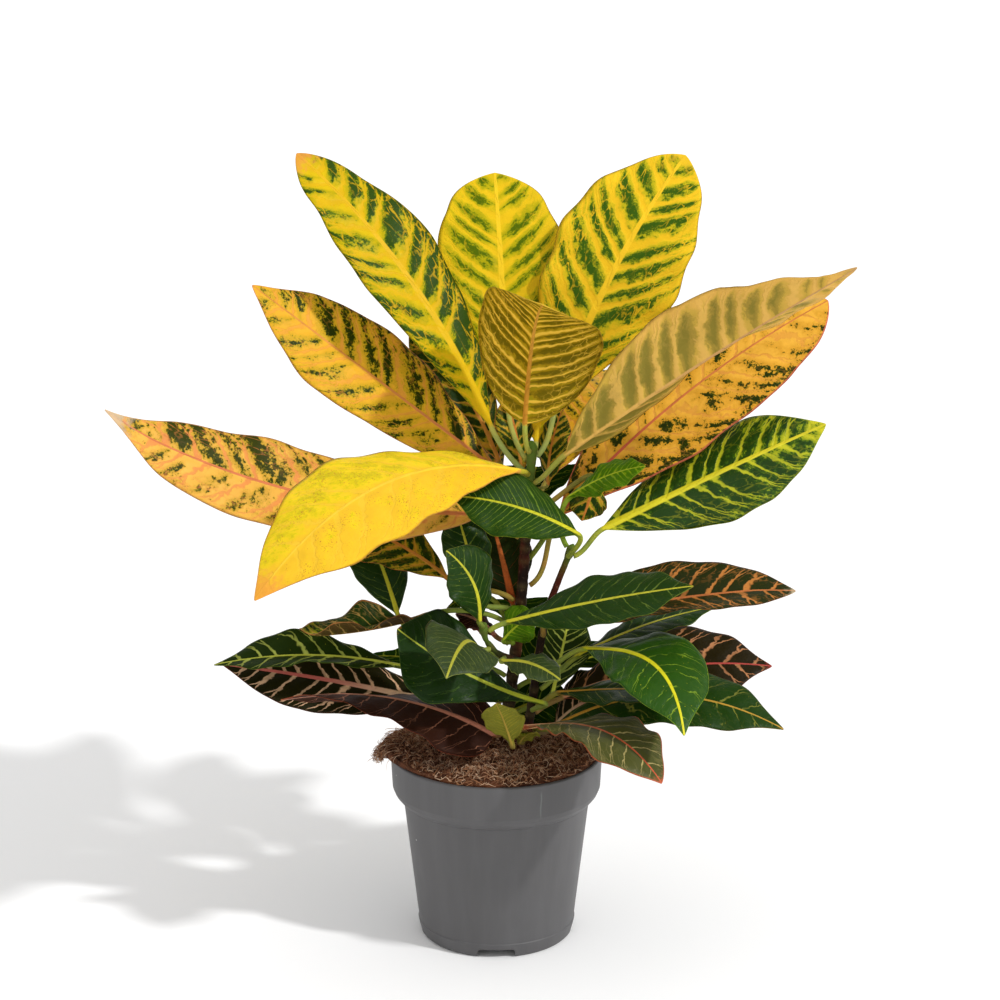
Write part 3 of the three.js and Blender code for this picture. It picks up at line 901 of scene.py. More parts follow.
    def lying_fibres(self) -> Piece:
        """Curly fibres on the heap: each heading turns steadily and wriggles on its way.

        Returns:
            All of them as one piece.
        """
        rng = np.random.default_rng(self.seed)
        n, steps = self.fibre_count, self.fibre_steps
        angle = rng.uniform(0, 2 * math.pi, n)
        radius = (self.lip() - 1.5) * np.sqrt(rng.uniform(0, 1, n))
        length = rng.uniform(*self.fibre_length, n)
        t = np.linspace(0, 1, steps)
        heading = rng.uniform(0, 2 * math.pi, n)[:, None] + rng.normal(0, 1.6, n)[:, None] * t
        heading = heading + rng.normal(0, 0.7, n)[:, None] * np.sin(
            2 * math.pi * (t * rng.uniform(0.6, 1.6, n)[:, None] + rng.uniform(0, 1, n)[:, None])
        )
        step = np.stack([np.cos(heading), np.sin(heading)], axis=2) * length[:, None, None] / steps
        start = np.stack([radius * np.cos(angle), radius * np.sin(angle)], axis=1)
        flat = start[:, None] + np.cumsum(step, axis=1)
        reach = np.linalg.norm(flat, axis=2, keepdims=True)
        flat = flat * np.minimum(1, (self.lip() + 1.2) / reach)
        lift = rng.uniform(0.1, 2.6, n)[:, None] * np.sin(math.pi * t) ** 2 + 0.35
        level = self.height(flat[..., 0], flat[..., 1]) + self.crumbs_at(flat[..., 0], flat[..., 1])
        paths = np.concatenate([flat, (level + lift)[..., None]], axis=2)
        radius = rng.uniform(*self.fibre_radius, n)
        return self.strands(paths, radius, rng.uniform(0, 1, n), "coir_fibres")

    def fringe(self) -> Piece:
        """Fibres that reach out over the rim: level at first, then bending down.

        Returns:
            All of them as one piece.
        """
        rng = np.random.default_rng(self.seed + 5)
        n, steps = self.fringe_count, self.fibre_steps
        near = rng.uniform(size=n) < 0.62
        bell = rng.normal(self.spill_azimuth, self.spill_spread * 0.42, n)
        angle = np.radians(np.where(near, bell, rng.uniform(0, 360, n)))
        out = np.where(near, rng.uniform(3, 9, n), rng.uniform(0.8, 3.2, n))
        start = self.lip() - rng.uniform(1, 5, n)
        t = np.linspace(0, 1, steps)
        reach = start[:, None] + (out + 4)[:, None] * np.sin(t * math.pi / 2)
        turned = angle[:, None] + rng.normal(0, 0.08, n)[:, None] * t**2
        top = self.height(start * np.cos(angle), start * np.sin(angle)) + rng.uniform(0, 1.2, n)
        drop = np.where(near, rng.uniform(0, 7.5, n), rng.uniform(-2, 1, n))
        level = top[:, None] + rng.uniform(0.2, 1.2, n)[:, None] * np.sin(math.pi * t)
        level = level - drop[:, None] * t**2.5
        clear = np.where(reach < self.pot.rim_radius + 0.4, self.pot.height + 0.5, 0)
        paths = np.stack(
            [reach * np.cos(turned), reach * np.sin(turned), np.maximum(level, clear)], axis=2
        )
        radius = rng.uniform(*self.fringe_radius, n)
        return self.strands(paths, radius, rng.uniform(0, 1, n), "coir_fringe")

    def ball(self, name: str, n: int, place: Point, size: Point) -> Piece:
        """A loose ball of coir, such as the one that hangs over the rim on the left.

        Every fibre is a wriggling arc through a random place in an ellipsoid: its
        heading turns steadily about a random axis, by half a turn to two turns.
        Outside the rim the ball sags.

        Args:
            name: The object's name.
            n: How many fibres it has.
            place: The ellipsoid's centre.
            size: Its half axes.

        Returns:
            One object with all its fibres.
        """
        rng = np.random.default_rng(self.seed + 21)
        steps = self.ball_steps
        inside = unit(rng.normal(size=(n, 3))) * rng.uniform(0, 1, (n, 1)) ** 0.45
        middle = np.array(place) + inside * size
        past_rim = np.maximum(-self.pot.rim_radius - middle[:, 0], 0)
        middle[:, 2] -= self.sag * past_rim**2
        first = unit(rng.normal(size=(n, 3)) * (1, 1, 0.6))
        second = square_to(rng.normal(size=(n, 3)), first)
        t = np.linspace(0, 1, steps)
        turn = rng.uniform(0.5, 2, n)[:, None] * math.pi * t + rng.normal(0, 0.25, (n, steps))
        step = np.cos(turn)[..., None] * first[:, None] + np.sin(turn)[..., None] * second[:, None]
        length = rng.uniform(*self.ball_length, n)[:, None, None]
        walk = np.cumsum(step * length / steps, axis=1)
        paths = middle[:, None] + walk - walk.mean(axis=1, keepdims=True)
        radius = rng.uniform(*self.ball_radius, n)
        return self.strands(paths, radius, rng.uniform(0.1, 1, n), name)

    def crumbs(self) -> Piece:
        """Pith crumbs: six-sided double cones of random size, sunk by half into the heap.

        Returns:
            All of them as one piece.
        """
        rng = np.random.default_rng(self.seed + 9)
        n = self.crumb_count
        angle = rng.uniform(0, 2 * math.pi, n)
        radius = (self.lip() - 1) * np.sqrt(rng.uniform(0, 1, n))
        size = rng.uniform(*self.crumb_size, n)
        x, y = radius * np.cos(angle), radius * np.sin(angle)
        centre = np.stack([x, y, self.height(x, y) + self.crumbs_at(x, y) + 0.2], axis=1)
        turn = np.arange(6) * math.pi / 3
        ring = np.stack([np.cos(turn), np.sin(turn), 0 * turn], axis=1)
        shape = np.vstack([ring, [[0, 0, 0.8], [0, 0, -0.8]]])
        bumpy = shape[None] * rng.uniform(0.55, 1.2, (n, 8, 1)) * size[:, None, None]
        points = (centre[:, None] + bumpy).reshape(-1, 3)
        around = np.arange(6)
        one = np.vstack([cap_faces(around, 6, turned=False), cap_faces(around, 7, turned=True)])
        faces = (one[None] + (np.arange(n) * 8)[:, None, None]).reshape(-1, 3)
        shade = np.repeat(rng.uniform(0, 1, n), 8)
        return make_piece("coir_crumbs", points, [faces], {"fibre_tone": shade})

    def build(self, soil: Material, fibre: Material) -> None:
        """Fills the pot and strews the fibres and crumbs.

        Args:
            soil: the heap's material.
            fibre: the fibres' material.
        """
        place(self.heap(), soil, "soil", "soil")
        place(self.lying_fibres(), fibre, "soil")
        place(self.fringe(), fibre, "soil")
        tuft = self.ball("coir_tuft", self.tuft_count, self.tuft_place, self.tuft_size)
        place(tuft, fibre, "soil")
        ridge = self.ball("coir_ridge", self.ridge_count, self.ridge_place, self.ridge_size)
        place(ridge, fibre, "soil")
        place(self.crumbs(), fibre, "soil")


# ---- the shoots


@dataclass(frozen=True)
class Stem:
    """A shoot: its centre line from inside the soil to the tip, and its thickness."""

    name: str
    path: tuple[Point, ...]
    radii: Range
    scars: tuple[float, ...] = ()
    green_from: float = 230.0
    bud: float = 0.9
    bud_length: float = 4.0
    swelling: float = 0.32
    swelling_reach: float = 2.0
    crease: float = 0.22
    crease_reach: float = 0.9
    crease_above: float = 3.2
    sides: int = 32

    def line(self) -> tuple[Array, Array]:
        """The centre line: a smooth curve through every point, sampled finely.

        Each leg is a cubic between two points of the path. Its end slopes come from
        the neighbours, each step weighted by the square root of its length.

        Returns:
            Points, and each point's share of the whole length.
        """
        knots = np.array(self.path, float)
        first = 2 * knots[0] - knots[1]
        last = 2 * knots[-1] - knots[-2]
        p = np.vstack([first, knots, last])
        step = np.linalg.norm(np.diff(p, axis=0), axis=1, keepdims=True) ** 0.5
        legs = np.diff(p, axis=0) / step
        skips = (p[2:] - p[:-2]) / (step[:-1] + step[1:])
        slopes = legs[:-1] - skips + legs[1:]
        t = np.linspace(0, 1, 120, endpoint=False)[:, None, None]
        a, b = p[1:-2], p[2:-1]
        start, end = slopes[:-1] * step[1:-1], slopes[1:] * step[1:-1]
        curve = (
            a
            + start * t
            + (3 * (b - a) - 2 * start - end) * t**2
            + (2 * (a - b) + start + end) * t**3
        )
        points = np.vstack([curve.transpose(1, 0, 2).reshape(-1, 3), knots[-1:]])
        run = np.concatenate([[0], np.cumsum(np.linalg.norm(np.diff(points, axis=0), axis=1))])
        return points, run / run[-1]

    def seat(self, height: float) -> tuple[Array, Array, float]:
        """Where a petiole leaves the shoot.

        Args:
            height: Its height above the surface that the pot stands on.

        Returns:
            The point on the centre line, the shoot's direction and its radius there.
        """
        points, share = self.line()
        along = unit(np.gradient(points, axis=0))
        at = int(np.argmax(points[:, 2] >= height))
        lean = (height - points[at - 1, 2]) / (points[at, 2] - points[at - 1, 2])
        point = points[at - 1] + (points[at] - points[at - 1]) * lean
        where = share[at - 1] + (share[at] - share[at - 1]) * lean
        radius = self.radii[0] + (self.radii[1] - self.radii[0]) * where
        return point, along[at], radius

    def tube(self, nodes: Array) -> tuple[Array, Array, Array]:
        """The shoot's skin: a ring of points carried along the centre line.

        The radius runs evenly from soil to tip. It swells by a narrow bell curve at
        each leaf node and at the end bud, dips in a crease just above each node, and
        carries fine ripples.

        Args:
            nodes: Heights of the leaf nodes.

        Returns:
            The points, the number of rings, and for the shader three masks: of the
            young green wood, of the nodes and of the leaf scars.
        """
        points, share = self.line()
        even = np.linspace(0, 1, max(60, int(len(points) * 0.45)))
        centre = np.stack([np.interp(even, share, points[:, k]) for k in range(3)], axis=1)
        along = unit(np.gradient(centre, axis=0))
        side = unit(np.cross([0.0, -1.0, 0.0], along))
        back = np.cross(along, side)
        level = centre[:, 2:3]
        above = level - nodes[None]
        swell = np.exp(-((above / self.swelling_reach) ** 2)).max(axis=1, initial=0)
        past = (above - self.crease_above) / self.crease_reach
        crease = np.exp(-(past**2)).max(axis=1, initial=0)
        turn = np.linspace(0, 2 * math.pi, self.sides, endpoint=False)
        left = (1 - even) * np.linalg.norm(np.diff(centre, axis=0), axis=1).sum()
        bud = self.bud * np.exp(-(((left - self.bud_length) / self.bud_length) ** 2))
        radius = np.interp(even, [0, 1], self.radii) + self.swelling * swell
        radius = radius - self.crease * crease + bud
        radius = radius * np.where(even > 0.985, np.sqrt(np.clip((1 - even) / 0.015, 0.04, 1)), 1)
        spin, tall = np.meshgrid(turn, level[:, 0])
        around = (2.5 * np.cos(spin), 2.5 * np.sin(spin))
        rough = Ripples(len(self.name), 2.2, 8).at(*around, tall * 0.5)
        reach = (radius[:, None] + 0.09 * rough)[..., None]
        cosine, sine = (wave(turn)[None, :, None] for wave in (np.cos, np.sin))
        ring = cosine * side[:, None] + sine * back[:, None]
        skin = centre[:, None] + reach * ring
        marks = np.array(self.scars).reshape(-1, 2)
        scar = np.zeros_like(spin)
        if len(marks):
            far = np.angle(np.exp(1j * (spin[..., None] - np.radians(marks[:, 1]))))
            gap = np.hypot((tall[..., None] - marks[:, 0]) / 3.0, far / 0.75)
            scar = smooth(gap.min(axis=-1), 1.0, 0.75)
        young = smooth(tall, self.green_from, self.green_from + 30)
        masks = np.stack([young, np.broadcast_to(swell[:, None], tall.shape), scar], axis=2)
        return skin.reshape(-1, 3), len(centre), masks.reshape(-1, 3)


@dataclass
class Shoots:
    """Both shoots that stand in the soil, the right one with its side branch."""

    stems: dict[str, Stem]

    def join(self, name: str, stems: list[Stem], nodes: dict[str, Array]) -> Piece:
        """One object from the closed tubes of several stems.

        Args:
            name: the piece's name.
            stems: the stems in it.
            nodes: where leaves sit on each.

        Returns:
            The shoot.
        """
        points, faces, masks, start = [], [], [], 0
        for stem in stems:
            skin, rows, mask = stem.tube(nodes[stem.name])
            sides = stem.sides
            ends = np.vstack([skin[:sides].mean(axis=0), skin[-sides:].mean(axis=0)])
            skin = np.vstack([skin, ends])
            own = tube_faces(rows, sides)
            faces += [outward(skin, own, f) + start for f in own]
            points.append(skin)
            masks.append(np.vstack([mask, mask[:1], mask[-1:]]))
            start += len(skin)
        return make_piece(name, np.vstack(points), faces, {"bark_mask": np.vstack(masks)})

    def build(self, bark: Material, leaves: list[Leaf]) -> None:
        """Builds the shoots with a swelling wherever a leaf sits.

        Args:
            bark: the shoots' material.
            leaves: the leaves that sit on them.
        """
        nodes = {
            name: np.array([leaf.node for leaf in leaves if leaf.shoot.value == name], float)
            for name in self.stems
        }
        main = self.join("shoot_main_bark", [self.stems["main"]], nodes)
        place(main, bark, "bark", "shoot_main")
        right = self.join("shoot_right_bark", [self.stems["right"], self.stems["left"]], nodes)
        place(right, bark, "bark", "shoot_right")


# ---- the leaves


class Grower(Enum):
    """The shoot that bears a leaf."""

    MAIN = "main"
    RIGHT = "right"
    LEFT = "left"


class Kind(Enum):
    """A leaf's material slot, by age and side."""

    YELLOW = "leaf_yellow"
    GOLDEN = "leaf_golden"
    OLIVE = "leaf_olive"
    GREEN = "leaf_green"
    DARK = "leaf_dark"
    BRONZE = "leaf_bronze"


@dataclass(frozen=True)
class Leaf:
    """One leaf: where it grows, the ends of its blade, and how it bends.

    bow: how far the blade arches up between its ends. lean: above 0 the arch lies
    nearer the tip. swing: how far the blade curves to its right. roll and twist:
    degrees that the upper face turns to its right, and the change to the tip. fold:
    degrees that each half rises. camber: how far the margins curl down. wave and
    waves: height and count of the margins' waves. peak: above 1 the blade is widest
    past its middle. facing: the compass direction of a blade that stands steeply.
    quilt: how far the cells between the veins swell. frill: fine waves of the
    margins. hook: how far the tip curls up. spacing: between side veins. lobes: how
    far the outline wavers, as a share of the width. drip: how far the end narrows
    into a drip tip, from 0 to 1. slant: how far a side vein runs towards the tip for
    each millimetre outwards.
    """

    name: str
    shoot: Grower
    node: float
    width: float
    base: Point
    tip: Point
    look: Look
    kind: Kind
    bow: float = 0.0
    lean: float = 0.0
    swing: float = 0.0
    roll: float = 0.0
    twist: float = 0.0
    fold: float = 6.0
    camber: float = 2.0
    wave: float = 1.5
    waves: float = 2.0
    peak: float = 1.2
    facing: float | None = None
    quilt: float = 0.55
    frill: float = 0.9
    hook: float = 0.0
    spacing: float = 0.0
    lobes: float = 0.035
    drip: float = 0.3
    slant: float = 0.66


@dataclass
class LeafMaker:
    """Grows a leaf's closed skin on its shoot, with the values that its colours need.

    modelled says whether its leaves stand for CAD nodes of their own names.
    """

    stems: dict[str, Stem]
    modelled: bool = True
    petiole_radius: float = 1.55
    petiole_tilt: float = 35.0
    skin: float = 0.32
    tip_half_width: float = 0.35
    fullness: float = 0.72
    crowding: float = 0.09
    gap: float = 0.35
    columns: int = 35
    petiole_steps: int = 16
    wave_phases: Range = (2.4, 0.6)
    vein_arch: float = 0.3
    vein_gap: float = 2.8
    veins_a_side: int = 11
    curl_share: Range = (0.82, 1.12)
    margin_crowding: float = 1.35
    rib_end_width: float = 0.6

    def midrib(self, leaf: Leaf, right: Array) -> Array:
        """The midrib's four handles: thirds of the chord, raised by 4/3 of the bow.

        Args:
            leaf: the leaf.
            right: the blade's right.

        Returns:
            Four points.
        """
        base, tip = np.array(leaf.base, float), np.array(leaf.tip, float)
        chord = tip - base
        over = unit(np.cross(right, chord))
        rows = [base]
        for share, weight in ((1 / 3, 1 - leaf.lean), (2 / 3, 1 + leaf.lean)):
            lift = over * leaf.bow * 4 / 3 * weight + right * leaf.swing * 4 / 3
            rows.append(base + chord * share + lift)
        return np.array([*rows, tip])

    def petiole(self, seat: tuple[Array, Array, float], midrib: Array) -> Array:
        """The petiole's four handles: out of the shoot, tilted up, into the midrib.

        Args:
            seat: the stem's point, direction and radius there.
            midrib: the midrib's handles.

        Returns:
            Four points.
        """
        point, along, radius = seat
        base = midrib[0]
        outward_way = square_to(base - point, along)
        tilt = math.radians(self.petiole_tilt)
        foot = point + outward_way * (radius + self.gap + self.petiole_radius * math.sin(tilt))
        reach = np.linalg.norm(base - foot) / 3
        leaving = outward_way * math.cos(tilt) + along * math.sin(tilt)
        arriving = unit(midrib[1] - midrib[0])
        return np.array([foot, foot + leaving * reach, base - arriving * reach, base])

    def half_width(self, leaf: Leaf, share: Array, side: Array) -> Array:
        """Half the width on one side: a filled-out sine of share^peak.

        Two slow sines make its outline waver, each side by its own phase. The last
        fifth narrows by the drip, and the stalk's radius is its least.

        Args:
            leaf: The leaf.
            share: 0 to 1 along the blade, one row a station.
            side: -1 or 1 for the left or the right side, one column a point.

        Returns:
            The half width at every point of the grid.
        """
        inside = np.clip(share, 0, 1)
        wave = np.maximum(np.sin(math.pi * inside**leaf.peak), 0) ** self.fullness
        seed = sum(map(ord, leaf.name)) * 0.83 + 1.9 * side
        slow = np.sin(2 * math.pi * 2.1 * inside + seed)
        quick = np.sin(2 * math.pi * 4.6 * inside + 2.3 * seed)
        wavering = 1 + leaf.lobes * (0.62 * slow + 0.38 * quick)
        narrowing = 1 - leaf.drip * smooth(inside, 0.8, 1.0)
        stalk = self.petiole_radius + (self.tip_half_width - self.petiole_radius) * inside
        return np.hypot(leaf.width / 2 * wave * wavering * narrowing, stalk)

    def vein_count(self, leaf: Leaf, across: Array, half: Array, run: Array) -> Array:
        """The side veins as a running number: a vein lies where it is whole.

        A vein leaves the midrib at the slant and arches towards the tip by arch times
        the half width times across^3, so the number is the run along the midrib
        less those, over the spacing. Its pace wavers, and each side has its own start.

        Args:
            leaf: The leaf.
            across: -1 to 1 from margin to margin.
            half: Half the width, one row a station.
            run: Millimetres along the midrib, one row a station.

        Returns:
            The number at every point of the grid.
        """
        far = np.abs(across) * half
        spacing = leaf.spacing or max(self.vein_gap, run[-1, 0] / self.veins_a_side)
        side = np.sign(across)
        start = run - leaf.slant * far - self.vein_arch * half * np.abs(across) ** 3
        number = start / spacing
        seed = sum(map(ord, leaf.name)) * 0.37
        pace = 0.16 * np.sin(number * 1.7 + seed + side) + 0.1 * np.sin(number * 3.1 + 2 * seed)
        zigzag = 0.035 * np.sin(far * 0.9 + seed + 2.4 * np.round(number))
        return number + pace + zigzag * smooth(far, 2, 8) + 0.21 * side + seed

    def relief(self, leaf: Leaf, across: Array, share: Array, half: Array, veins: Array) -> Array:
        """How far the middle layer stands off its flat plane.

        The halves rise by the fold, the margins wave and curl down with across^2, and
        both fade with sin(pi share). Finer waves follow the margins, and each cell
        between two veins swells by (1 - cos(2 pi n)) / 2 of the quilt.

        Args:
            leaf: The leaf.
            across: -1 to 1 from margin to margin.
            share: 0 to 1 along the blade.
            half: Half the width.
            veins: The side veins' running number.

        Returns:
            Millimetres along the upward direction.
        """
        inside = np.clip(share, 0, 1)
        envelope = np.sin(math.pi * inside)
        far = np.abs(across)
        phase = np.where(across > 0, self.wave_phases[1], self.wave_phases[0])
        rise = half * far * math.tan(math.radians(leaf.fold))
        ripple = leaf.wave * np.sin(2 * math.pi * leaf.waves * inside + phase)
        seed = sum(map(ord, leaf.name)) * 0.61
        turns = 2.7 * leaf.waves
        frill_phase = 2 * math.pi * turns * inside + seed + 2 * np.sign(across)
        frill = leaf.frill * far**3 * np.sin(frill_phase)
        cell = 0.5 - 0.5 * np.cos(2 * math.pi * veins)
        bulge = leaf.quilt * cell * smooth(far * half, 0.8, 5) * (1 - 0.8 * far**3)
        plain = (rise + (ripple - leaf.camber) * across**2) * envelope
        return plain + (frill + bulge) * np.sqrt(np.clip(envelope, 0, 1))

    def stations(self, length: float) -> Array:
        """Shares of every station: -1 to 0 along the petiole, 0 to 1 along the blade."""
        stalk = np.linspace(-1, 0, self.petiole_steps, endpoint=False)
        even = np.linspace(0, 1, int(np.clip(length * 0.75, 26, 112)))
        return np.concatenate([stalk, even - self.crowding * np.sin(2 * math.pi * even)])

    def spine(self, leaf: Leaf) -> tuple[Array, Array, Array, Array, Array]:
        """The leaf's centre line and directions: the petiole's curve, then the midrib's.

        The upper face turns about the line by the roll and the twist. The end curls up
        by the hook, along a smooth step of the share.

        Args:
            leaf: The leaf.

        Returns:
            Each station's share, point, direction to the right, direction upwards,
            and run along the midrib in millimetres.
        """
        seat = self.stems[leaf.shoot.value].seat(leaf.node)
        heading = (np.array(leaf.tip, float) - seat[0]) * (1, 1, 0)
        if leaf.facing is not None:
            turn = math.radians(leaf.facing)
            heading = np.array([math.cos(turn), math.sin(turn), 0.0])
        right = np.cross(unit(heading), UP)
        midrib = self.midrib(leaf, right)
        petiole = self.petiole(seat, midrib)
        share = self.stations(float(np.linalg.norm(midrib[-1] - midrib[0])))
        stalk, blade = share[share < 0], share[share >= 0]
        centre = np.vstack([cubic(petiole, stalk + 1), cubic(midrib, blade)])
        along = np.vstack([cubic_slope(petiole, stalk + 1), cubic_slope(midrib, blade)])
        level = square_to(np.broadcast_to(right, along.shape), along)
        above = np.cross(level, along)
        roll = np.radians(leaf.roll * np.minimum(1, share + 1) + leaf.twist * np.maximum(0, share))
        side = level * np.cos(roll)[:, None] - above * np.sin(roll)[:, None]
        up = level * np.sin(roll)[:, None] + above * np.cos(roll)[:, None]
        curl = smooth(share, *self.curl_share)[:, None]
        centre = centre + leaf.hook * curl * (0.8 * up - 0.6 * along * curl)
        run = np.concatenate([[0], np.cumsum(np.linalg.norm(np.diff(centre, axis=0), axis=1))])
        return share, centre, side, up, run - run[len(stalk)]

    def thickness(self, share: Array, across: Array, far: Array) -> tuple[Array, Array]:
        """How far the upper and the lower face stand off the middle layer.

        Half the skin, thinning to the margins, and a half-round ridge along the
        midrib, which is slight above and fades to the tip.

        Args:
            share: 0 to 1 along the blade, below 0 on the petiole.
            across: -1 to 1 from margin to margin.
            far: Millimetres from the midrib.

        Returns:
            Millimetres above and below.
        """
        inside = np.clip(share, 0, 1)
        skin = self.skin * np.sqrt(np.clip(1 - across**8, 0, 1))
        ridge_width = self.petiole_radius + (self.rib_end_width - self.petiole_radius) * inside
        round_off = np.sqrt(np.clip(1 - (far / ridge_width) ** 2, 0, 1))
        ridge = (self.petiole_radius - self.skin) * round_off
        top = skin + ridge * (0.22 + 0.78 * (1 - inside) ** 9) * (1 - inside**6)
        return top, skin + ridge * (1 - inside) ** 0.8

    def build(self, leaf: Leaf, material: Material, number: int) -> None:
        """Grows one leaf and sets it in the frame.

        Each station is a closed ring: the upper face from the left margin to the
        right, and the lower face back.

        Args:
            leaf: The leaf.
            material: Its material.
            number: Its place in the list, which seeds its pattern.
        """
        share, centre, side, up, run = self.spine(leaf)
        share, run = share[:, None], run[:, None]
        spread = np.linspace(-1, 1, self.columns)
        across = (np.sign(spread) * np.abs(spread) ** self.margin_crowding)[None]
        half = self.half_width(leaf, share, np.sign(across))
        half = np.where(share < 0, self.petiole_radius, half)
        veins = self.vein_count(leaf, across, half, run)
        lift = np.where(share < 0, 0, self.relief(leaf, across, share, half, veins))
        top, bottom = self.thickness(share, across, half * np.abs(across))
        plane = centre[:, None] + side[:, None] * (half * across)[..., None]
        upper = plane + up[:, None] * (lift + top)[..., None]
        lower = plane + up[:, None] * (lift - bottom)[..., None]
        ring = np.concatenate([upper, lower[:, -2:0:-1]], axis=1)
        face = np.ones_like(veins)
        face[:, [0, -1]] = 0

        def round_ring(above: Array, sign: int = 1) -> Array:
            """Values of the upper face, then backwards of the lower, then of both ends."""
            values = np.broadcast_to(above, veins.shape)
            values = np.concatenate([values, sign * values[:, -2:0:-1]], axis=1)
            return np.concatenate([values.reshape(-1), values[0, :1], values[-1, :1]])

        vein = [round_ring(v) for v in (veins, half * across, run)]
        spot = [round_ring(across), round_ring(share), round_ring(face, -1)]
        rim = [round_ring(v) for v in ((1 - np.abs(across)) * half, number * 7.13 + 0 * run, half)]
        fields = {"vein": vein, "spot": spot, "rim": rim}
        values = {field: np.stack(stack, axis=1) for field, stack in fields.items()}
        points = np.vstack([ring.reshape(-1, 3), ring[0].mean(axis=0), ring[-1].mean(axis=0)])
        faces = tube_faces(*ring.shape[:2])
        piece = make_piece(f"croton_{leaf.name}", points, faces, values)
        place(piece, material, leaf.kind.value, *([leaf.name] if self.modelled else []))


# ---- the finishes


@dataclass(frozen=True)
class BladeFinish:
    """The colours of one leaf, and where its green, veins and specks lie.

    ground, halo, green, deep: the blade from its palest to its darkest part. The
    numbers named *_gain move the green about: cell towards the middles of cells,
    reach away from the midrib, edge to the margins, border to the outer quarter,
    side to the leaf's right, base and end towards those ends, mottle by clouds and
    streak along the veins. bias is the green all over. Widths are millimetres, but
    a side vein's is a share of the space between two.
    """

    ground: str
    halo: str
    green: str
    deep: str
    rib: str
    rib_end: str
    vein: str
    margin: str
    ground_base: str = ""
    speck: str = ""
    end: str = "d8902e"
    under: str = "8a8040"
    stalk: str = "a2ae5e"
    bias: float = 0.0
    cell_gain: float = 0.5
    border_gain: float = 0.0
    reach_gain: float = 0.3
    edge_gain: float = 0.0
    side_gain: float = 0.0
    base_gain: float = 0.0
    end_gain: float = 0.0
    mottle_gain: float = 0.5
    streak_gain: float = 0.35
    fine_gain: float = 0.25
    rib_width: float = 1.5
    vein_width: float = 0.10
    vein_show: float = 0.9
    vein_fade: float = 0.4
    fork: float = 0.4
    network: float = 0.15
    dark_specks: float = 0.3
    pale_specks: float = 0.15
    vein_break: float = 0.0
    crisp: float = 1.0
    halo_from: float = -0.42
    margin_width: float = 0.5
    end_from: float = 0.99
    under_share: float = 0.6
    gloss: float = 0.36
    sheen: float = 0.05


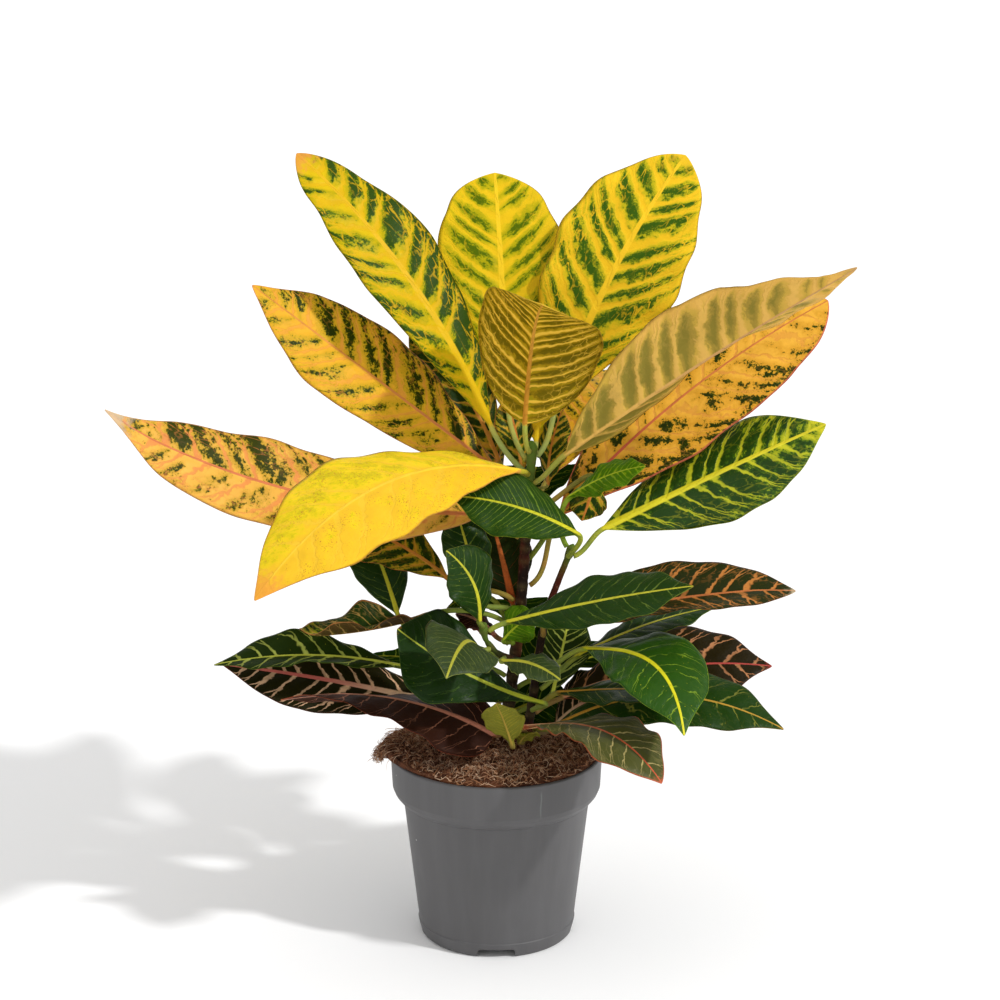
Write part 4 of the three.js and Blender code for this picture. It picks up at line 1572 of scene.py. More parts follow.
class Look(Enum):
    """The finishes, named for the leaves that wear them."""

    CROWN_LEFT = BladeFinish(
        "d4b210", "ab9d0a", "6c7a08", "30480c", "dcb416", "dcb01c", "d6aa14", "a08c18",
        end="dc9440", bias=0.12, cell_gain=1.1, edge_gain=0.6, side_gain=0.2, end_gain=-0.45,
        border_gain=0.25, mottle_gain=0.3, streak_gain=0.5, fine_gain=0.45, rib_width=2.6,
        vein_width=0.19, end_from=0.93, network=0.75, pale_specks=0.7, halo_from=-0.65,
    )
    CROWN_MIDDLE = BladeFinish(
        "dcba18", "a49e0c", "82880a", "506404", "ecc420", "eec626", "e4ba1a", "bc9428", bias=-0.32,
        cell_gain=1.1, reach_gain=0.55, border_gain=-0.5, mottle_gain=0.35, streak_gain=0.8,
        fine_gain=0.55, rib_width=2.8, vein_width=0.2, fork=0.3, network=0.5, pale_specks=0.6,
        halo_from=-0.8,
    )
    CROWN_RIGHT = BladeFinish(
        "eec424", "b0aa18", "748014", "3a5a10", "f2c626", "f6c82a", "eebe22", "cc9c2c",
        end="ecc02c", bias=-0.08, cell_gain=1.1, edge_gain=0.1, border_gain=-0.25,
        mottle_gain=0.35, streak_gain=0.6, fine_gain=0.5, rib_width=3.0, vein_width=0.2,
        end_from=0.94, network=0.85, pale_specks=0.5, halo_from=-0.55,
    )
    # The underside colour of this finish, which leaf 04 turns to the viewer, is the underside's own
    # olive made lighter: painted light that stands in for light shining through the blade.
    FOLDED_OLIVE = BladeFinish(
        "bc9820", "a08410", "786406", "524c02", "c88c30", "d0983c", "f0c244", "e0b83c",
        ground_base="88860c", under="ac8c18", cell_gain=0.9, mottle_gain=0.35, rib_width=1.6,
        vein_width=0.19, vein_fade=0.0, fork=0.2, under_share=0.2, stalk="a8b04c", dark_specks=0.0,
        network=0.6, margin_width=0.8,
    )
    PEACH_OLIVE = BladeFinish(
        "e6b450", "c0a234", "968428", "6c6e14", "dcae58", "cc9c62", "e4b45c", "c09844",
        ground_base="a49026", end="c49c68", under="c89c58", bias=0.1, cell_gain=1.05,
        base_gain=0.5, end_gain=-0.45, reach_gain=0.35, mottle_gain=0.25, streak_gain=0.2,
        fine_gain=0.3, vein_width=0.22, vein_show=0.65, under_share=0.25, stalk="a4a648",
        end_from=0.94, dark_specks=0.0, border_gain=-0.75, crisp=0.6, halo_from=-0.7,
    )
    GOLD_PINK_RIB = BladeFinish(
        "f0b440", "d4982a", "585a10", "263008", "cc5c44", "d47e44", "de9640", "d87050", bias=-0.5,
        cell_gain=0.9, base_gain=0.5, edge_gain=0.35, mottle_gain=0.8, streak_gain=0.25,
        fine_gain=0.75, rib_width=1.2, dark_specks=0.8, margin_width=1.5, stalk="9a8c3c",
        crisp=1.4, vein_break=0.3, halo_from=-1.0, border_gain=0.35,
    )
    GOLD_BLOTCHED = BladeFinish(
        "e6ac2c", "c4a01c", "80780e", "2a3404", "d8864a", "da9040", "e49c3a", "d08454", bias=-0.22,
        cell_gain=0.85, reach_gain=0.25, side_gain=0.14, base_gain=0.2, edge_gain=0.35,
        mottle_gain=0.6, streak_gain=0.45, fine_gain=0.7, rib_width=1.2, vein_width=0.13,
        dark_specks=0.6, margin_width=0.7, stalk="9a8c3c", crisp=1.3, network=0.5, pale_specks=0.5,
        halo_from=-0.65,
    )
    PEACH_DRIED = BladeFinish(
        "eab04a", "c49a2e", "6c640e", "363a08", "d8804a", "d47a4c", "e0884a", "d8985c",
        end="d2b894", bias=-0.4, cell_gain=0.8, side_gain=0.2, end_gain=0.3, edge_gain=0.15,
        mottle_gain=0.7, streak_gain=0.4, fine_gain=0.6, rib_width=1.4, vein_width=0.14,
        end_from=0.9, margin_width=0.8, stalk="9a8c3c", crisp=1.4, network=0.4, dark_specks=0.6,
        halo_from=-0.55,
    )
    PLAIN_YELLOW = BladeFinish(
        "f0be2c", "eccc20", "dcc41a", "ccb81c", "f8d038", "f8ca3c", "f2c43a", "dc9c44",
        speck="b4642c", end="eca040", bias=-0.3, cell_gain=0.25, side_gain=0.2, base_gain=0.1,
        mottle_gain=0.4, streak_gain=0.4, vein_width=0.12, dark_specks=0.8, margin_width=0.9,
        end_from=0.9, stalk="b0a832", network=0.1, vein_show=0.5,
    )
    GREEN_YELLOW_RIB = BladeFinish(
        "d6ce24", "7c9014", "34560a", "1e3c06", "dcd028", "d8cc2c", "c0c024", "a4ac24",
        end="c8c030", bias=0.45, cell_gain=0.4, end_gain=-0.5, edge_gain=-0.1, fine_gain=0.4,
        streak_gain=0.45, rib_width=2.5, vein_width=0.17, vein_show=1.0, vein_break=0.25,
        pale_specks=0.4, stalk="8e9c3e", network=0.25, sheen=0.25,
    )
    STRIPED_GREEN = BladeFinish(
        "b8b422", "5c7c18", "2e5010", "24420c", "ccc82a", "c0c02c", "7a9430", "84982a", bias=0.75,
        cell_gain=0.3, rib_width=1.3, vein_show=0.85, vein_break=0.15, vein_fade=0.25,
        pale_specks=0.5, stalk="84943c", under="44541e", network=0.1, sheen=0.06,
    )
    YOUNG_GREEN = BladeFinish(
        "a8b022", "7c9012", "567c08", "426808", "a4b428", "a0b02a", "8ea428", "748c20", bias=0.45,
        rib_width=0.8, vein_width=0.14, vein_show=0.5, stalk="7e9832",
    )
    DARK_YELLOW_RIB = BladeFinish(
        "bcb420", "667c18", "284810", "1c380a", "d2cc34", "c0bc38", "748a34", "6c7a22", bias=0.8,
        cell_gain=0.25, mottle_gain=0.35, vein_width=0.09, vein_show=0.7, vein_break=0.6,
        pale_specks=0.5, stalk="7e8e3c", under="46541e", network=0.05, sheen=0.16,
    )
    DARK_ORANGE_RIB = BladeFinish(
        "b07c30", "5c5a20", "343a12", "262c0c", "cc7c38", "c47440", "cc823e", "84421c",
        end="cdbc98", bias=0.72, cell_gain=0.2, edge_gain=-0.2, mottle_gain=0.55, rib_width=1.6,
        vein_width=0.15, vein_show=0.95, vein_break=0.3, vein_fade=0.15, fork=0.5, pale_specks=0.3,
        stalk="847438", under="584220", end_from=0.96, network=0.3, sheen=0.12,
    )
    NIGHT_PINK = BladeFinish(
        "a8663c", "3c3c14", "282a08", "241c06", "d89468", "bc4c44", "ca8a5c", "7c4028",
        end="a03a30", bias=0.95, cell_gain=0.1, mottle_gain=0.3, rib_width=1.4, vein_width=0.13,
        vein_show=0.95, vein_break=0.3, vein_fade=0.1, fork=0.55, stalk="84743a", under="46391e",
        network=0.0, end_from=0.96, sheen=0.12,
    )
    NIGHT_ORANGE = BladeFinish(
        "a85a28", "4a4418", "28340e", "202a0a", "c4602a", "c86c34", "8c4c28", "6c3a20", bias=0.95,
        cell_gain=0.1, rib_width=2.4, vein_width=0.07, vein_show=0.5, vein_break=0.5,
        stalk="a07038", under="42381a", network=0.0,
    )
    FRONT_GREEN = BladeFinish(
        "d4d020", "6a941c", "305c12", "284e0e", "e2dc22", "dcd424", "8eac2c", "7c9c28", bias=0.85,
        cell_gain=0.2, rib_width=2.0, vein_width=0.07, vein_show=0.8, vein_break=0.75,
        vein_fade=0.3, pale_specks=0.7, stalk="84923e", under="44541e", network=0.05, sheen=0.15,
    )
    WIDE_DARK = BladeFinish(
        "a8b030", "4c661c", "203a0a", "163006", "b8c034", "a8b03a", "54742c", "50661c", bias=0.85,
        cell_gain=0.2, vein_width=0.08, vein_show=0.6, vein_break=0.6, pale_specks=0.4,
        stalk="7e8e3c", under="46541e", network=0.0, sheen=0.14,
    )
    GREEN_ORANGE_RIB = BladeFinish(
        "bca824", "647c1c", "28480e", "1e3c0a", "cc9434", "c4983a", "98963a", "746424", bias=0.85,
        cell_gain=0.2, rib_width=1.3, vein_width=0.07, vein_show=0.75, vein_break=0.7,
        pale_specks=0.5, stalk="8a8a3a", under="465020", network=0.05, sheen=0.12,
    )
    GRAY_RED_RIB = BladeFinish(
        "a08c4c", "5c5c30", "5c5c2e", "4a4c20", "e4a474", "d05c38", "b8a668", "bc5c38",
        end="d06040", bias=0.9, cell_gain=0.15, rib_width=1.4, vein_width=0.08, vein_show=1.0,
        vein_break=0.25, pale_specks=0.1, stalk="90743c", under="524c28", gloss=0.42,
        end_from=0.96, sheen=0.2, margin_width=1.1,
    )
    GRAY_GREEN = BladeFinish(
        "acac34", "5a6a2c", "34481c", "2a3c16", "bcb834", "aaa834", "849040", "7c8438", bias=0.8,
        cell_gain=0.2, rib_width=1.9, vein_width=0.07, vein_show=0.8, vein_break=0.4,
        stalk="828e3e", under="526034", gloss=0.44, sheen=0.3,
    )
    NIGHT_SALMON = BladeFinish(
        "a8643c", "3c401a", "262a0a", "1e1c06", "f0caa6", "d06c62", "ecbe96", "70321e",
        end="7c3828", bias=0.92, cell_gain=0.12, mottle_gain=0.3, rib_width=2.3, vein_width=0.17,
        vein_show=0.95, vein_break=0.35, vein_fade=0.1, fork=0.5, stalk="7c6c3c", under="463e24",
        network=0.0, end_from=0.97, sheen=0.08,
    )
    LEFT_LIME = BladeFinish(
        "acb028", "4c6018", "3e5212", "223409", "d4dc54", "c8d050", "c4d062", "566424", bias=0.85,
        cell_gain=0.25, rib_width=1.2, vein_width=0.15, vein_fade=0.5, vein_break=0.25,
        pale_specks=0.5, stalk="7c8c3a", under="464e22", network=0.0, sheen=0.06,
    )
    CURLED = BladeFinish(
        "c0a82c", "74801c", "2e4412", "1e320c", "8a6a38", "a07a38", "b08c4c", "a06838",
        end="c0a830", bias=0.7, cell_gain=0.3, end_gain=-0.75, rib_width=1.0, vein_show=0.85,
        stalk="7c8c3a", under="543a1c", under_share=0.7, network=0.3, margin_width=0.9,
    )
    BRONZE_BROWN = BladeFinish(
        "7c4428", "4c2814", "3e1e0a", "2c1206", "bc7860", "bc8068", "b4785c", "904830", bias=0.8,
        cell_gain=0.25, rib_width=2.0, vein_width=0.06, vein_show=0.8, vein_break=0.5,
        pale_specks=0.0, stalk="7c5a34", under="422612", under_share=0.4, gloss=0.48, network=0.0,
        sheen=0.1,
    )
    SMALL_OLIVE = BladeFinish(
        "a09024", "82841a", "6c7414", "546410", "b89c44", "a88c3c", "a89c38", "84782a", bias=0.3,
        rib_width=0.7, stalk="84763a", under="847c30",
    )
    BEHIND_DARK = BladeFinish(
        "8c8c24", "465c14", "243c0a", "183006", "a09c30", "94902c", "6c7c28", "56601c", bias=0.8,
        cell_gain=0.25, under="3c3c1a", stalk="7c8c3a", network=0.0, gloss=0.8, sheen=0.0,
    )
    BEHIND_VARIEGATED = BladeFinish(
        "d09c28", "84841a", "44560e", "22380a", "d4903c", "cc7c34", "cc9434", "bc7038", bias=0.18,
        cell_gain=0.8, mottle_gain=0.6, fine_gain=0.5, rib_width=1.4, vein_width=0.12,
        stalk="84803a", under="847c30", crisp=1.3,
    )


@dataclass
class BladePaint:
    """The node group that colours every leaf, and one material for each finish."""

    group_name: str = "croton_blade"
    cloud_scale: float = 0.075
    blotch_scale: float = 0.3
    fine_scale: float = 0.85
    speck_scale: float = 1.5
    dot_scale: float = 0.34
    relief: float = 0.4
    bending: float = 1.45

    def takes(self) -> dict[str, object]:
        """The group's inputs, one for each value of a finish."""
        values = self.values(Look.CROWN_LEFT.value)
        del values["sheen"]
        return values

    def values(self, finish: BladeFinish) -> dict[str, object]:
        """A finish as the group takes it, its colours linear and none left out.

        Args:
            finish: the finish.

        Returns:
            A value for each input of the group.
        """
        own = {
            **vars(finish),
            "ground_base": finish.ground_base or finish.ground,
            "speck": finish.speck or finish.deep,
        }
        return {name: colour(v) if isinstance(v, str) else v for name, v in own.items()}

    def group(self) -> Tree:
        """Builds the group: the vein pattern, the green's place, and the colours.

        A side vein lies where the running number is whole, and splits in a Y towards
        the margin. The green is a sum of the gains times their measures. The colours
        run through ground, halo, green and deep as that sum grows, and the veins,
        margin, tip, underside and stalk are laid over them.

        Returns:
            The group, with Colour, Roughness and Height.
        """
        gives = {
            "Colour": "NodeSocketColor",
            "Roughness": "NodeSocketFloat",
            "Height": "NodeSocketFloat",
        }
        s, take, end = new_group(self.group_name, self.takes(), gives)
        number, x, y = s.parts(s.field("vein").outputs["Vector"])
        across, share, face = s.parts(s.field("spot").outputs["Vector"])
        rim, seed, _ = s.parts(s.field("rim").outputs["Vector"])
        far = s.math("ABSOLUTE", across)
        out = s.math("ABSOLUTE", x)
        side = s.math("SIGN", x)
        place_on = s.vector(s.total(x, seed), y, seed)
        cloud = s.noise(place_on, self.cloud_scale, 3.0, 0.55)
        middle = s.noise(place_on, self.blotch_scale, 3.0, 0.6)
        fine = s.noise(place_on, self.fine_scale, 4.0, 0.65)
        lane = s.math("MULTIPLY_ADD", side, 3.0, seed)
        lane_at = s.vector(s.times(number, 7.0), s.times(out, 0.16), lane)
        streak = s.noise(s.shaken(lane_at, 0.5), 1.0, 4.0, 0.65)

        # side veins
        wobble = s.total(number, s.centred(cloud, 0.5), s.centred(middle, 0.18))
        cycle = s.math("FRACT", s.total(wobble, 0.5))
        from_vein = s.math("ABSOLUTE", s.less(cycle, 0.5))
        past = s.math("MAXIMUM", s.less(far, 0.5), 0.0)
        branch = s.less(from_vein, s.times(past, take["fork"]))
        near_vein = s.math("ABSOLUTE", branch)
        thin = s.times(take["vein_width"], s.math("MULTIPLY_ADD", far, -0.75, 1.0))
        thin = s.times(thin, s.math("MULTIPLY_ADD", s.centred(middle, 1.0), 1.2, 1.0))
        vein = s.fall(near_vein, s.times(thin, 0.4), s.times(thin, 1.05))
        shown = s.less(1.0, s.times(far, take["vein_fade"]))
        gap_at = s.vector(s.times(number, 1.7), s.times(out, 0.12), lane)
        gap = s.times(s.fall(s.noise(gap_at, 1.0, 2.0, 0.6), 0.4, 0.56), take["vein_break"])
        ends = s.times(s.fall(far, 0.86, 0.99), s.fall(share, 0.93, 0.99))
        vein = s.times(s.times(vein, ends), shown)
        painted = s.math("MULTIPLY", s.less(take["vein_show"], gap), vein, clamp=True)

        # the midrib
        rib_width = s.times(take["rib_width"], s.math("MULTIPLY_ADD", share, -0.72, 1.0))
        ragged = s.total(s.centred(fine, 0.5), out)
        rib = s.fall(ragged, s.times(rib_width, 0.75), s.times(rib_width, 1.2))

        # where the green lies
        cell = s.times(near_vein, 2.0)
        apart = s.rise(out, rib_width, s.total(rib_width, 9.0))
        from_base = s.math("POWER", s.less(1.0, s.math("MAXIMUM", share, 0.0)), 2.0)
        to_end = s.math("POWER", s.math("MAXIMUM", share, 0.0), 2.0)
        soft = s.total(
            take["bias"],
            s.centred(cell, take["cell_gain"]),
            s.centred(apart, take["reach_gain"]),
            s.centred(far, take["edge_gain"]),
            s.times(s.rise(far, 0.7, 0.97), take["border_gain"]),
            s.times(side, take["side_gain"]),
            s.times(from_base, take["base_gain"]),
            s.times(to_end, take["end_gain"]),
            s.times(s.centred(cloud, take["mottle_gain"]), 2.6),
        )
        rough_part = s.total(
            s.times(s.centred(middle, take["mottle_gain"]), 1.8),
            s.times(s.centred(streak, take["streak_gain"]), 2.6),
            s.times(s.centred(fine, take["fine_gain"]), 2.0),
        )
        glow = s.math("MULTIPLY_ADD", rough_part, 0.4, soft)
        spread = s.times(s.total(soft, rough_part), take["crisp"])
        start = s.blend(s.rise(share, 0.05, 0.5), take["ground_base"], take["ground"])
        around = s.times(s.rise(glow, take["halo_from"], 0.04), 0.9)
        paint = s.blend(around, start, take["halo"])
        paint = s.coat(paint, take["green"], s.rise(spread, -0.06, 0.12))
        paint = s.coat(paint, take["deep"], s.rise(spread, 0.12, 0.34))

        # the fine network, and specks
        net_at = s.vector(s.times(number, 1.9), s.times(out, 0.2), lane)
        crack = s.cells(s.shaken(net_at, 0.9), 1.0, "DISTANCE_TO_EDGE")
        wide_net = s.times(s.fall(crack, 0.02, 0.085), s.rise(far, 0.15, 0.75))
        patchy = s.times(s.rise(middle, 0.38, 0.55), take["network"])
        network = s.times(wide_net, patchy)
        paint = s.coat(paint, take["vein"], network)
        grain = s.noise(place_on, self.speck_scale, 1.0, 0.4)
        dark_amount = s.times(take["dark_specks"], s.rise(cloud, 0.42, 0.6))
        dark = s.times(s.rise(grain, 0.62, 0.68), dark_amount)
        dark = s.times(dark, s.rise(spread, -0.9, -0.25))
        paint = s.coat(paint, take["speck"], dark)
        dots = s.cells(place_on, self.dot_scale, "F1")
        pale = s.times(s.fall(dots, 0.07, 0.14), take["pale_specks"])
        pale = s.times(pale, s.rise(fine, 0.48, 0.6))
        paint = s.coat(paint, take["ground"], pale)

        # veins, margin, tip, underside and stalk
        below = s.fall(face, -0.5, 0.3)
        paint = s.coat(paint, take["under"], below, take["under_share"])
        paint = s.coat(paint, take["vein"], painted)
        rib_colour = s.blend(s.rise(share, 0.15, 0.6), take["rib"], take["rib_end"])
        paint = s.coat(paint, rib_colour, rib)
        edge = s.total(s.centred(middle, 0.8), rim)
        at_margin = s.fall(edge, s.times(take["margin_width"], 0.5), take["margin_width"])
        paint = s.coat(paint, take["margin"], at_margin, 0.85)
        drying = s.total(s.centred(middle, 0.12), share)
        at_end = s.rise(drying, take["end_from"], s.total(take["end_from"], 0.06))
        paint = s.coat(paint, take["end"], at_end, 0.85)
        stalk = s.blend(s.times(s.rise(cloud, 0.4, 0.7), 0.3), take["stalk"], take["rib"])
        paint = s.coat(paint, stalk, s.fall(share, -0.1, 0.015))
        shade = s.between(s.noise(place_on, 0.12, 2.0, 0.5), 0.86, 1.12)
        paint = s.node("ShaderNodeHueSaturation", {"Value": shade, "Color": paint}).outputs[0]

        rough = s.total(
            take["gloss"], s.centred(middle, 0.25), s.centred(fine, 0.12),
            s.times(below, 0.16), s.times(at_end, 0.2),
        )
        height = s.total(
            s.times(vein, s.between(below, -0.5, 0.8)),
            s.times(wide_net, -0.15),
            s.centred(fine, 0.3),
            s.centred(middle, 0.5),
            s.times(rib, 0.25),
        )
        for label, value in (("Colour", paint), ("Roughness", rough), ("Height", height)):
            s.tree.links.new(value, end.inputs[label])
        return s.tree

    def materials(self) -> dict[Look, Material]:
        """One material for each finish: the group with its values, into a surface.

        Returns:
            The materials by look.
        """
        group = self.group()
        made = {}
        for look in Look:
            material, s, end = new_material(f"leaf_{look.name.lower()}")
            blade = s.node("ShaderNodeGroup", node_tree=group)
            values = self.values(look.value)
            sheen = values.pop("sheen")
            for name, value in values.items():
                blade.inputs[name].default_value = value
            feeds = {
                "Base Color": blade.outputs["Colour"],
                "Roughness": blade.outputs["Roughness"],
                "IOR": self.bending,
                "Specular IOR Level": sheen,
            }
            surface(s, end, feeds, blade.outputs["Height"], self.relief)
            made[look] = material
        return made


@dataclass(frozen=True)
class Finish:
    """A finish that is painted on Object coordinates, with its relief in millimetres."""

    name: str = "finish"
    depth: float = 0.1
    rough: float = 0.9
    sheen: float = 0.2

    def paint(self, s: Sheet, where: Socket) -> tuple[dict[str, object], Socket]:
        """The surface's inputs and its height, which each finish works out for itself."""
        raise NotImplementedError(self.name)

    def plain(self, colour_socket: Socket) -> dict[str, object]:
        """The surface's inputs where only the colour changes over it.

        Args:
            colour_socket: the colour.

        Returns:
            The inputs by name.
        """
        return {
            "Base Color": colour_socket,
            "Roughness": self.rough,
            "Specular IOR Level": self.sheen,
        }

    def material(self) -> Material:
        """Builds the finish as a material.

        Returns:
            The material.
        """
        material, s, end = new_material(self.name)
        feeds, height = self.paint(s, s.node("ShaderNodeTexCoord").outputs["Object"])
        surface(s, end, feeds, height, self.depth)
        return material


@dataclass(frozen=True)
class PotPlastic(Finish):
    """Gray satin plastic: flow marks, white specks, scratches, and painted shade in the hollow
    under the foot.

    Scales count per metre. The scratch and the painted shade under the foot are placed in metres.
    """

    name: str = "pot_plastic"
    depth: float = 0.06
    rough: float = 0.5
    bending: float = 1.48
    gray: str = "504f50"
    flow_gray: str = "565556"
    blotch_gray: str = "5c5c5e"
    dust: str = "868688"
    speck: str = "e4e2dc"
    scratch: str = "8c948f"
    # the colour of the painted shade under the foot
    shade: str = "121111"
    around_scale: float = 260.0
    upright_scale: float = 22.0
    blotch_scale: float = 28.0
    grain_scale: float = 900.0
    speck_scale: float = 95.0
    scratch_x: float = 0.0295
    scratch_foot: Range = (0.094, 0.099)
    scratch_head: Range = (0.11, 0.114)
    # where the painted shade under the foot ends: its radius and its height
    hollow_edge: Range = (0.0452, 0.046)
    hollow_top: Range = (0.0058, 0.006)

    def paint(self, s: Sheet, where: Socket) -> tuple[dict[str, object], Socket]:
        """Lays the marks over the gray, then the scratch, then painted shade in the hollow under
        the foot.

        Args:
            s: the shader sheet that takes the nodes.
            where: the place in Object coordinates.

        Returns:
            The surface's inputs, and the height of its relief.
        """
        x, y, z = s.parts(where)
        turn_x, turn_y = (s.times(v, self.around_scale) for v in (x, y))
        flow_at = s.vector(turn_x, turn_y, s.times(z, self.upright_scale))
        flow = s.noise(flow_at, 0.35, 3.0, 0.6)
        blotch = s.noise(where, self.blotch_scale, 3.0, 0.55)
        fine = s.noise(where, self.grain_scale, 2.0, 0.6)
        specks = s.fall(s.cells(where, self.speck_scale, "F1"), 0.035, 0.06)
        white = s.times(specks, s.rise(s.noise(where, 60.0, 1.0, 0.5), 0.58, 0.64))
        scuff_at = s.vector(turn_x, turn_y, s.times(z, self.upright_scale))
        scuff = s.rise(s.noise(scuff_at, 0.81, 2.0, 0.7), 0.67, 0.75)
        dusty = s.times(scuff, s.rise(blotch, 0.5, 0.7))
        paint = s.blend(s.rise(flow, 0.3, 0.75), self.gray, self.flow_gray)
        paint = s.coat(paint, self.blotch_gray, s.rise(blotch, 0.45, 0.75), 0.3)
        paint = s.coat(paint, self.dust, dusty, 0.25)
        paint = s.coat(paint, self.speck, white, 0.8)
        bent = s.math("MULTIPLY_ADD", blotch, 0.006, s.less(x, self.scratch_x))
        level = s.times(s.rise(z, *self.scratch_foot), s.fall(z, *self.scratch_head))
        mark = s.times(s.fall(s.math("ABSOLUTE", bent), 0.0001, 0.0007), level)
        mark = s.times(mark, s.math("LESS_THAN", y, 0.0))
        paint = s.coat(paint, self.scratch, mark, 0.3)
        # painted shade: the hollow under the pot, inside the foot ring and below the floor, is
        # painted near black
        out = s.math("SQRT", s.total(s.times(x, x), s.times(y, y)))
        hollow = s.times(s.fall(out, *self.hollow_edge), s.fall(z, *self.hollow_top))
        paint = s.coat(paint, self.shade, hollow)
        rough = s.total(self.rough, s.times(s.less(blotch, 0.5), 0.25))
        height = s.total(s.times(fine, 0.35), s.times(flow, 0.5), white)
        return {"Base Color": paint, "Roughness": rough, "IOR": self.bending}, height


@dataclass(frozen=True)
class MoistCoir(Finish):
    """Dark moist coir: brown clods, reddish flecks and pale broken fibres."""

    name: str = "coir_soil"
    depth: float = 1.2
    rough: float = 0.95
    hollow: str = "3c1d0e"
    clod: str = "6c4028"
    fleck: str = "7c543a"
    broken: str = "8a664e"
    clod_scale: float = 130.0
    fleck_scale: float = 620.0
    broken_scale: float = 1500.0

    def paint(self, s: Sheet, where: Socket) -> tuple[dict[str, object], Socket]:
        """Clods over hollows, then the flecks and the broken fibres.

        Args:
            s: the shader sheet that takes the nodes.
            where: the place in Object coordinates.

        Returns:
            The surface's inputs, and the height of its relief.
        """
        clod = s.noise(where, self.clod_scale, 4.0, 0.6)
        fine = s.noise(where, self.fleck_scale, 4.0, 0.65)
        hair = s.noise(where, self.broken_scale, 2.0, 0.7)
        paint = s.blend(s.rise(clod, 0.35, 0.65), self.hollow, self.clod)
        paint = s.coat(paint, self.fleck, s.rise(fine, 0.5, 0.68), 0.8)
        paint = s.coat(paint, self.broken, s.rise(hair, 0.6, 0.7), 0.6)
        height = s.total(fine, s.times(hair, 0.6))
        return self.plain(paint), height


@dataclass(frozen=True)
class CoirFibre(Finish):
    """Coir fibres: each its own shade from dark red-brown to pinkish tan."""

    name: str = "coir_fibre"
    rough: float = 0.8
    sheen: float = 0.3
    dark: str = "643c26"
    tan: str = "aa7650"
    pale: str = "dab898"
    fleck: str = "5a3626"
    fleck_scale: float = 800.0

    def paint(self, s: Sheet, where: Socket) -> tuple[dict[str, object], Socket]:
        """The fibre's tone picks its shade, and dark flecks lie over it.

        Args:
            s: the shader sheet that takes the nodes.
            where: the place in Object coordinates.

        Returns:
            The surface's inputs, and the height of its relief.
        """
        tone = s.field("fibre_tone").outputs["Fac"]
        fleck = s.noise(where, self.fleck_scale, 2.0, 0.6)
        paint = s.blend(s.rise(tone, 0.05, 0.45), self.dark, self.tan)
        paint = s.coat(paint, self.pale, s.rise(tone, 0.45, 1.0))
        paint = s.coat(paint, self.fleck, s.rise(fleck, 0.45, 0.7), 0.4)
        return self.plain(paint), fleck


@dataclass(frozen=True)
class YoungBark(Finish):
    """Young bark: dark brown below with cork flecks, greener above, scars beige."""

    name: str = "croton_bark"
    depth: float = 0.4
    rough: float = 0.7
    sheen: float = 0.12
    dark: str = "160c06"
    brown: str = "2c1b10"
    red: str = "601f10"
    green: str = "5e7c28"
    cork: str = "6a543c"
    node: str = "62542e"
    scar: str = "c09478"
    grain_scale: float = 260.0
    cork_scale: float = 420.0
    red_scale: float = 45.0
    grain_pull: float = 4.0

    def paint(self, s: Sheet, where: Socket) -> tuple[dict[str, object], Socket]:
        """Long grain, red patches and cork, and the masks of green, nodes and scars.

        Args:
            s: the shader sheet that takes the nodes.
            where: the place in Object coordinates.

        Returns:
            The surface's inputs, and the height of its relief.
        """
        x, y, z = s.parts(where)
        young, node, scar = s.parts(s.field("bark_mask").outputs["Vector"])
        long_at = s.vector(s.times(x, self.grain_pull), s.times(y, self.grain_pull), z)
        grain = s.noise(long_at, self.grain_scale, 4.0, 0.6)
        cork = s.noise(where, self.cork_scale, 3.0, 0.6)
        red = s.rise(s.noise(where, self.red_scale, 2.0, 0.5), 0.45, 0.6)
        paint = s.blend(s.rise(grain, 0.35, 0.7), self.dark, self.brown)
        paint = s.coat(paint, self.red, red, 0.55)
        paint = s.coat(paint, self.green, young, 0.9)
        paint = s.coat(paint, self.cork, s.rise(cork, 0.58, 0.68), 0.5)
        paint = s.coat(paint, self.node, node, 0.3)
        paint = s.coat(paint, self.scar, scar)
        height = s.total(grain, s.times(cork, 0.6), s.times(scar, -0.8))
        return self.plain(paint), height


@dataclass(frozen=True)
class WhitePaper(Finish):
    """White paper: a trace of cloudiness, fully matte."""

    name: str = "white_floor"
    depth: float = 0.02
    rough: float = 1.0
    sheen: float = 0.0
    white: str = "fcfcfc"
    bright: str = "fefefe"

    def paint(self, s: Sheet, where: Socket) -> tuple[dict[str, object], Socket]:
        """Two near whites in wide clouds, and a fine grain."""
        paint = s.blend(s.noise(where, 3.0, 2.0, 0.5), self.white, self.bright)
        return self.plain(paint), s.noise(where, 300.0, 1.0, 0.5)


# ---- the plant's measures

MAIN, RIGHT, LEFT = Grower
YELLOW, GOLDEN, OLIVE, GREEN, DARK, BRONZE = Kind

STEMS = {
    "main": Stem(
        "main",
        (
            (2, 4, 78), (4, 4, 114), (10, 4, 165), (15, 4, 212), (18, 2, 257), (21, 0, 304),
            (21, 0, 313),
        ),
        (4.2, 2.6),
        scars=((229.0, 265.0), (158.0, 300.0), (180.0, 200.0)),
        green_from=262.0,
    ),
    "right": Stem(
        "right",
        (
            (14, -6, 80), (17, -8, 118), (22, -9, 153), (26, -10, 185), (31, -11, 211),
            (37, -12, 229), (46, -14, 253),
        ),
        (3.2, 1.8),
        scars=((219.0, 260.0),),
        green_from=228.0,
    ),
    "left": Stem(
        "left",
        ((25, -11, 170), (13, -29, 185), (2, -39, 192), (-6, -42, 202), (-8, -42, 213)),
        (2.2, 1.5),
        green_from=185.0,
    ),
}

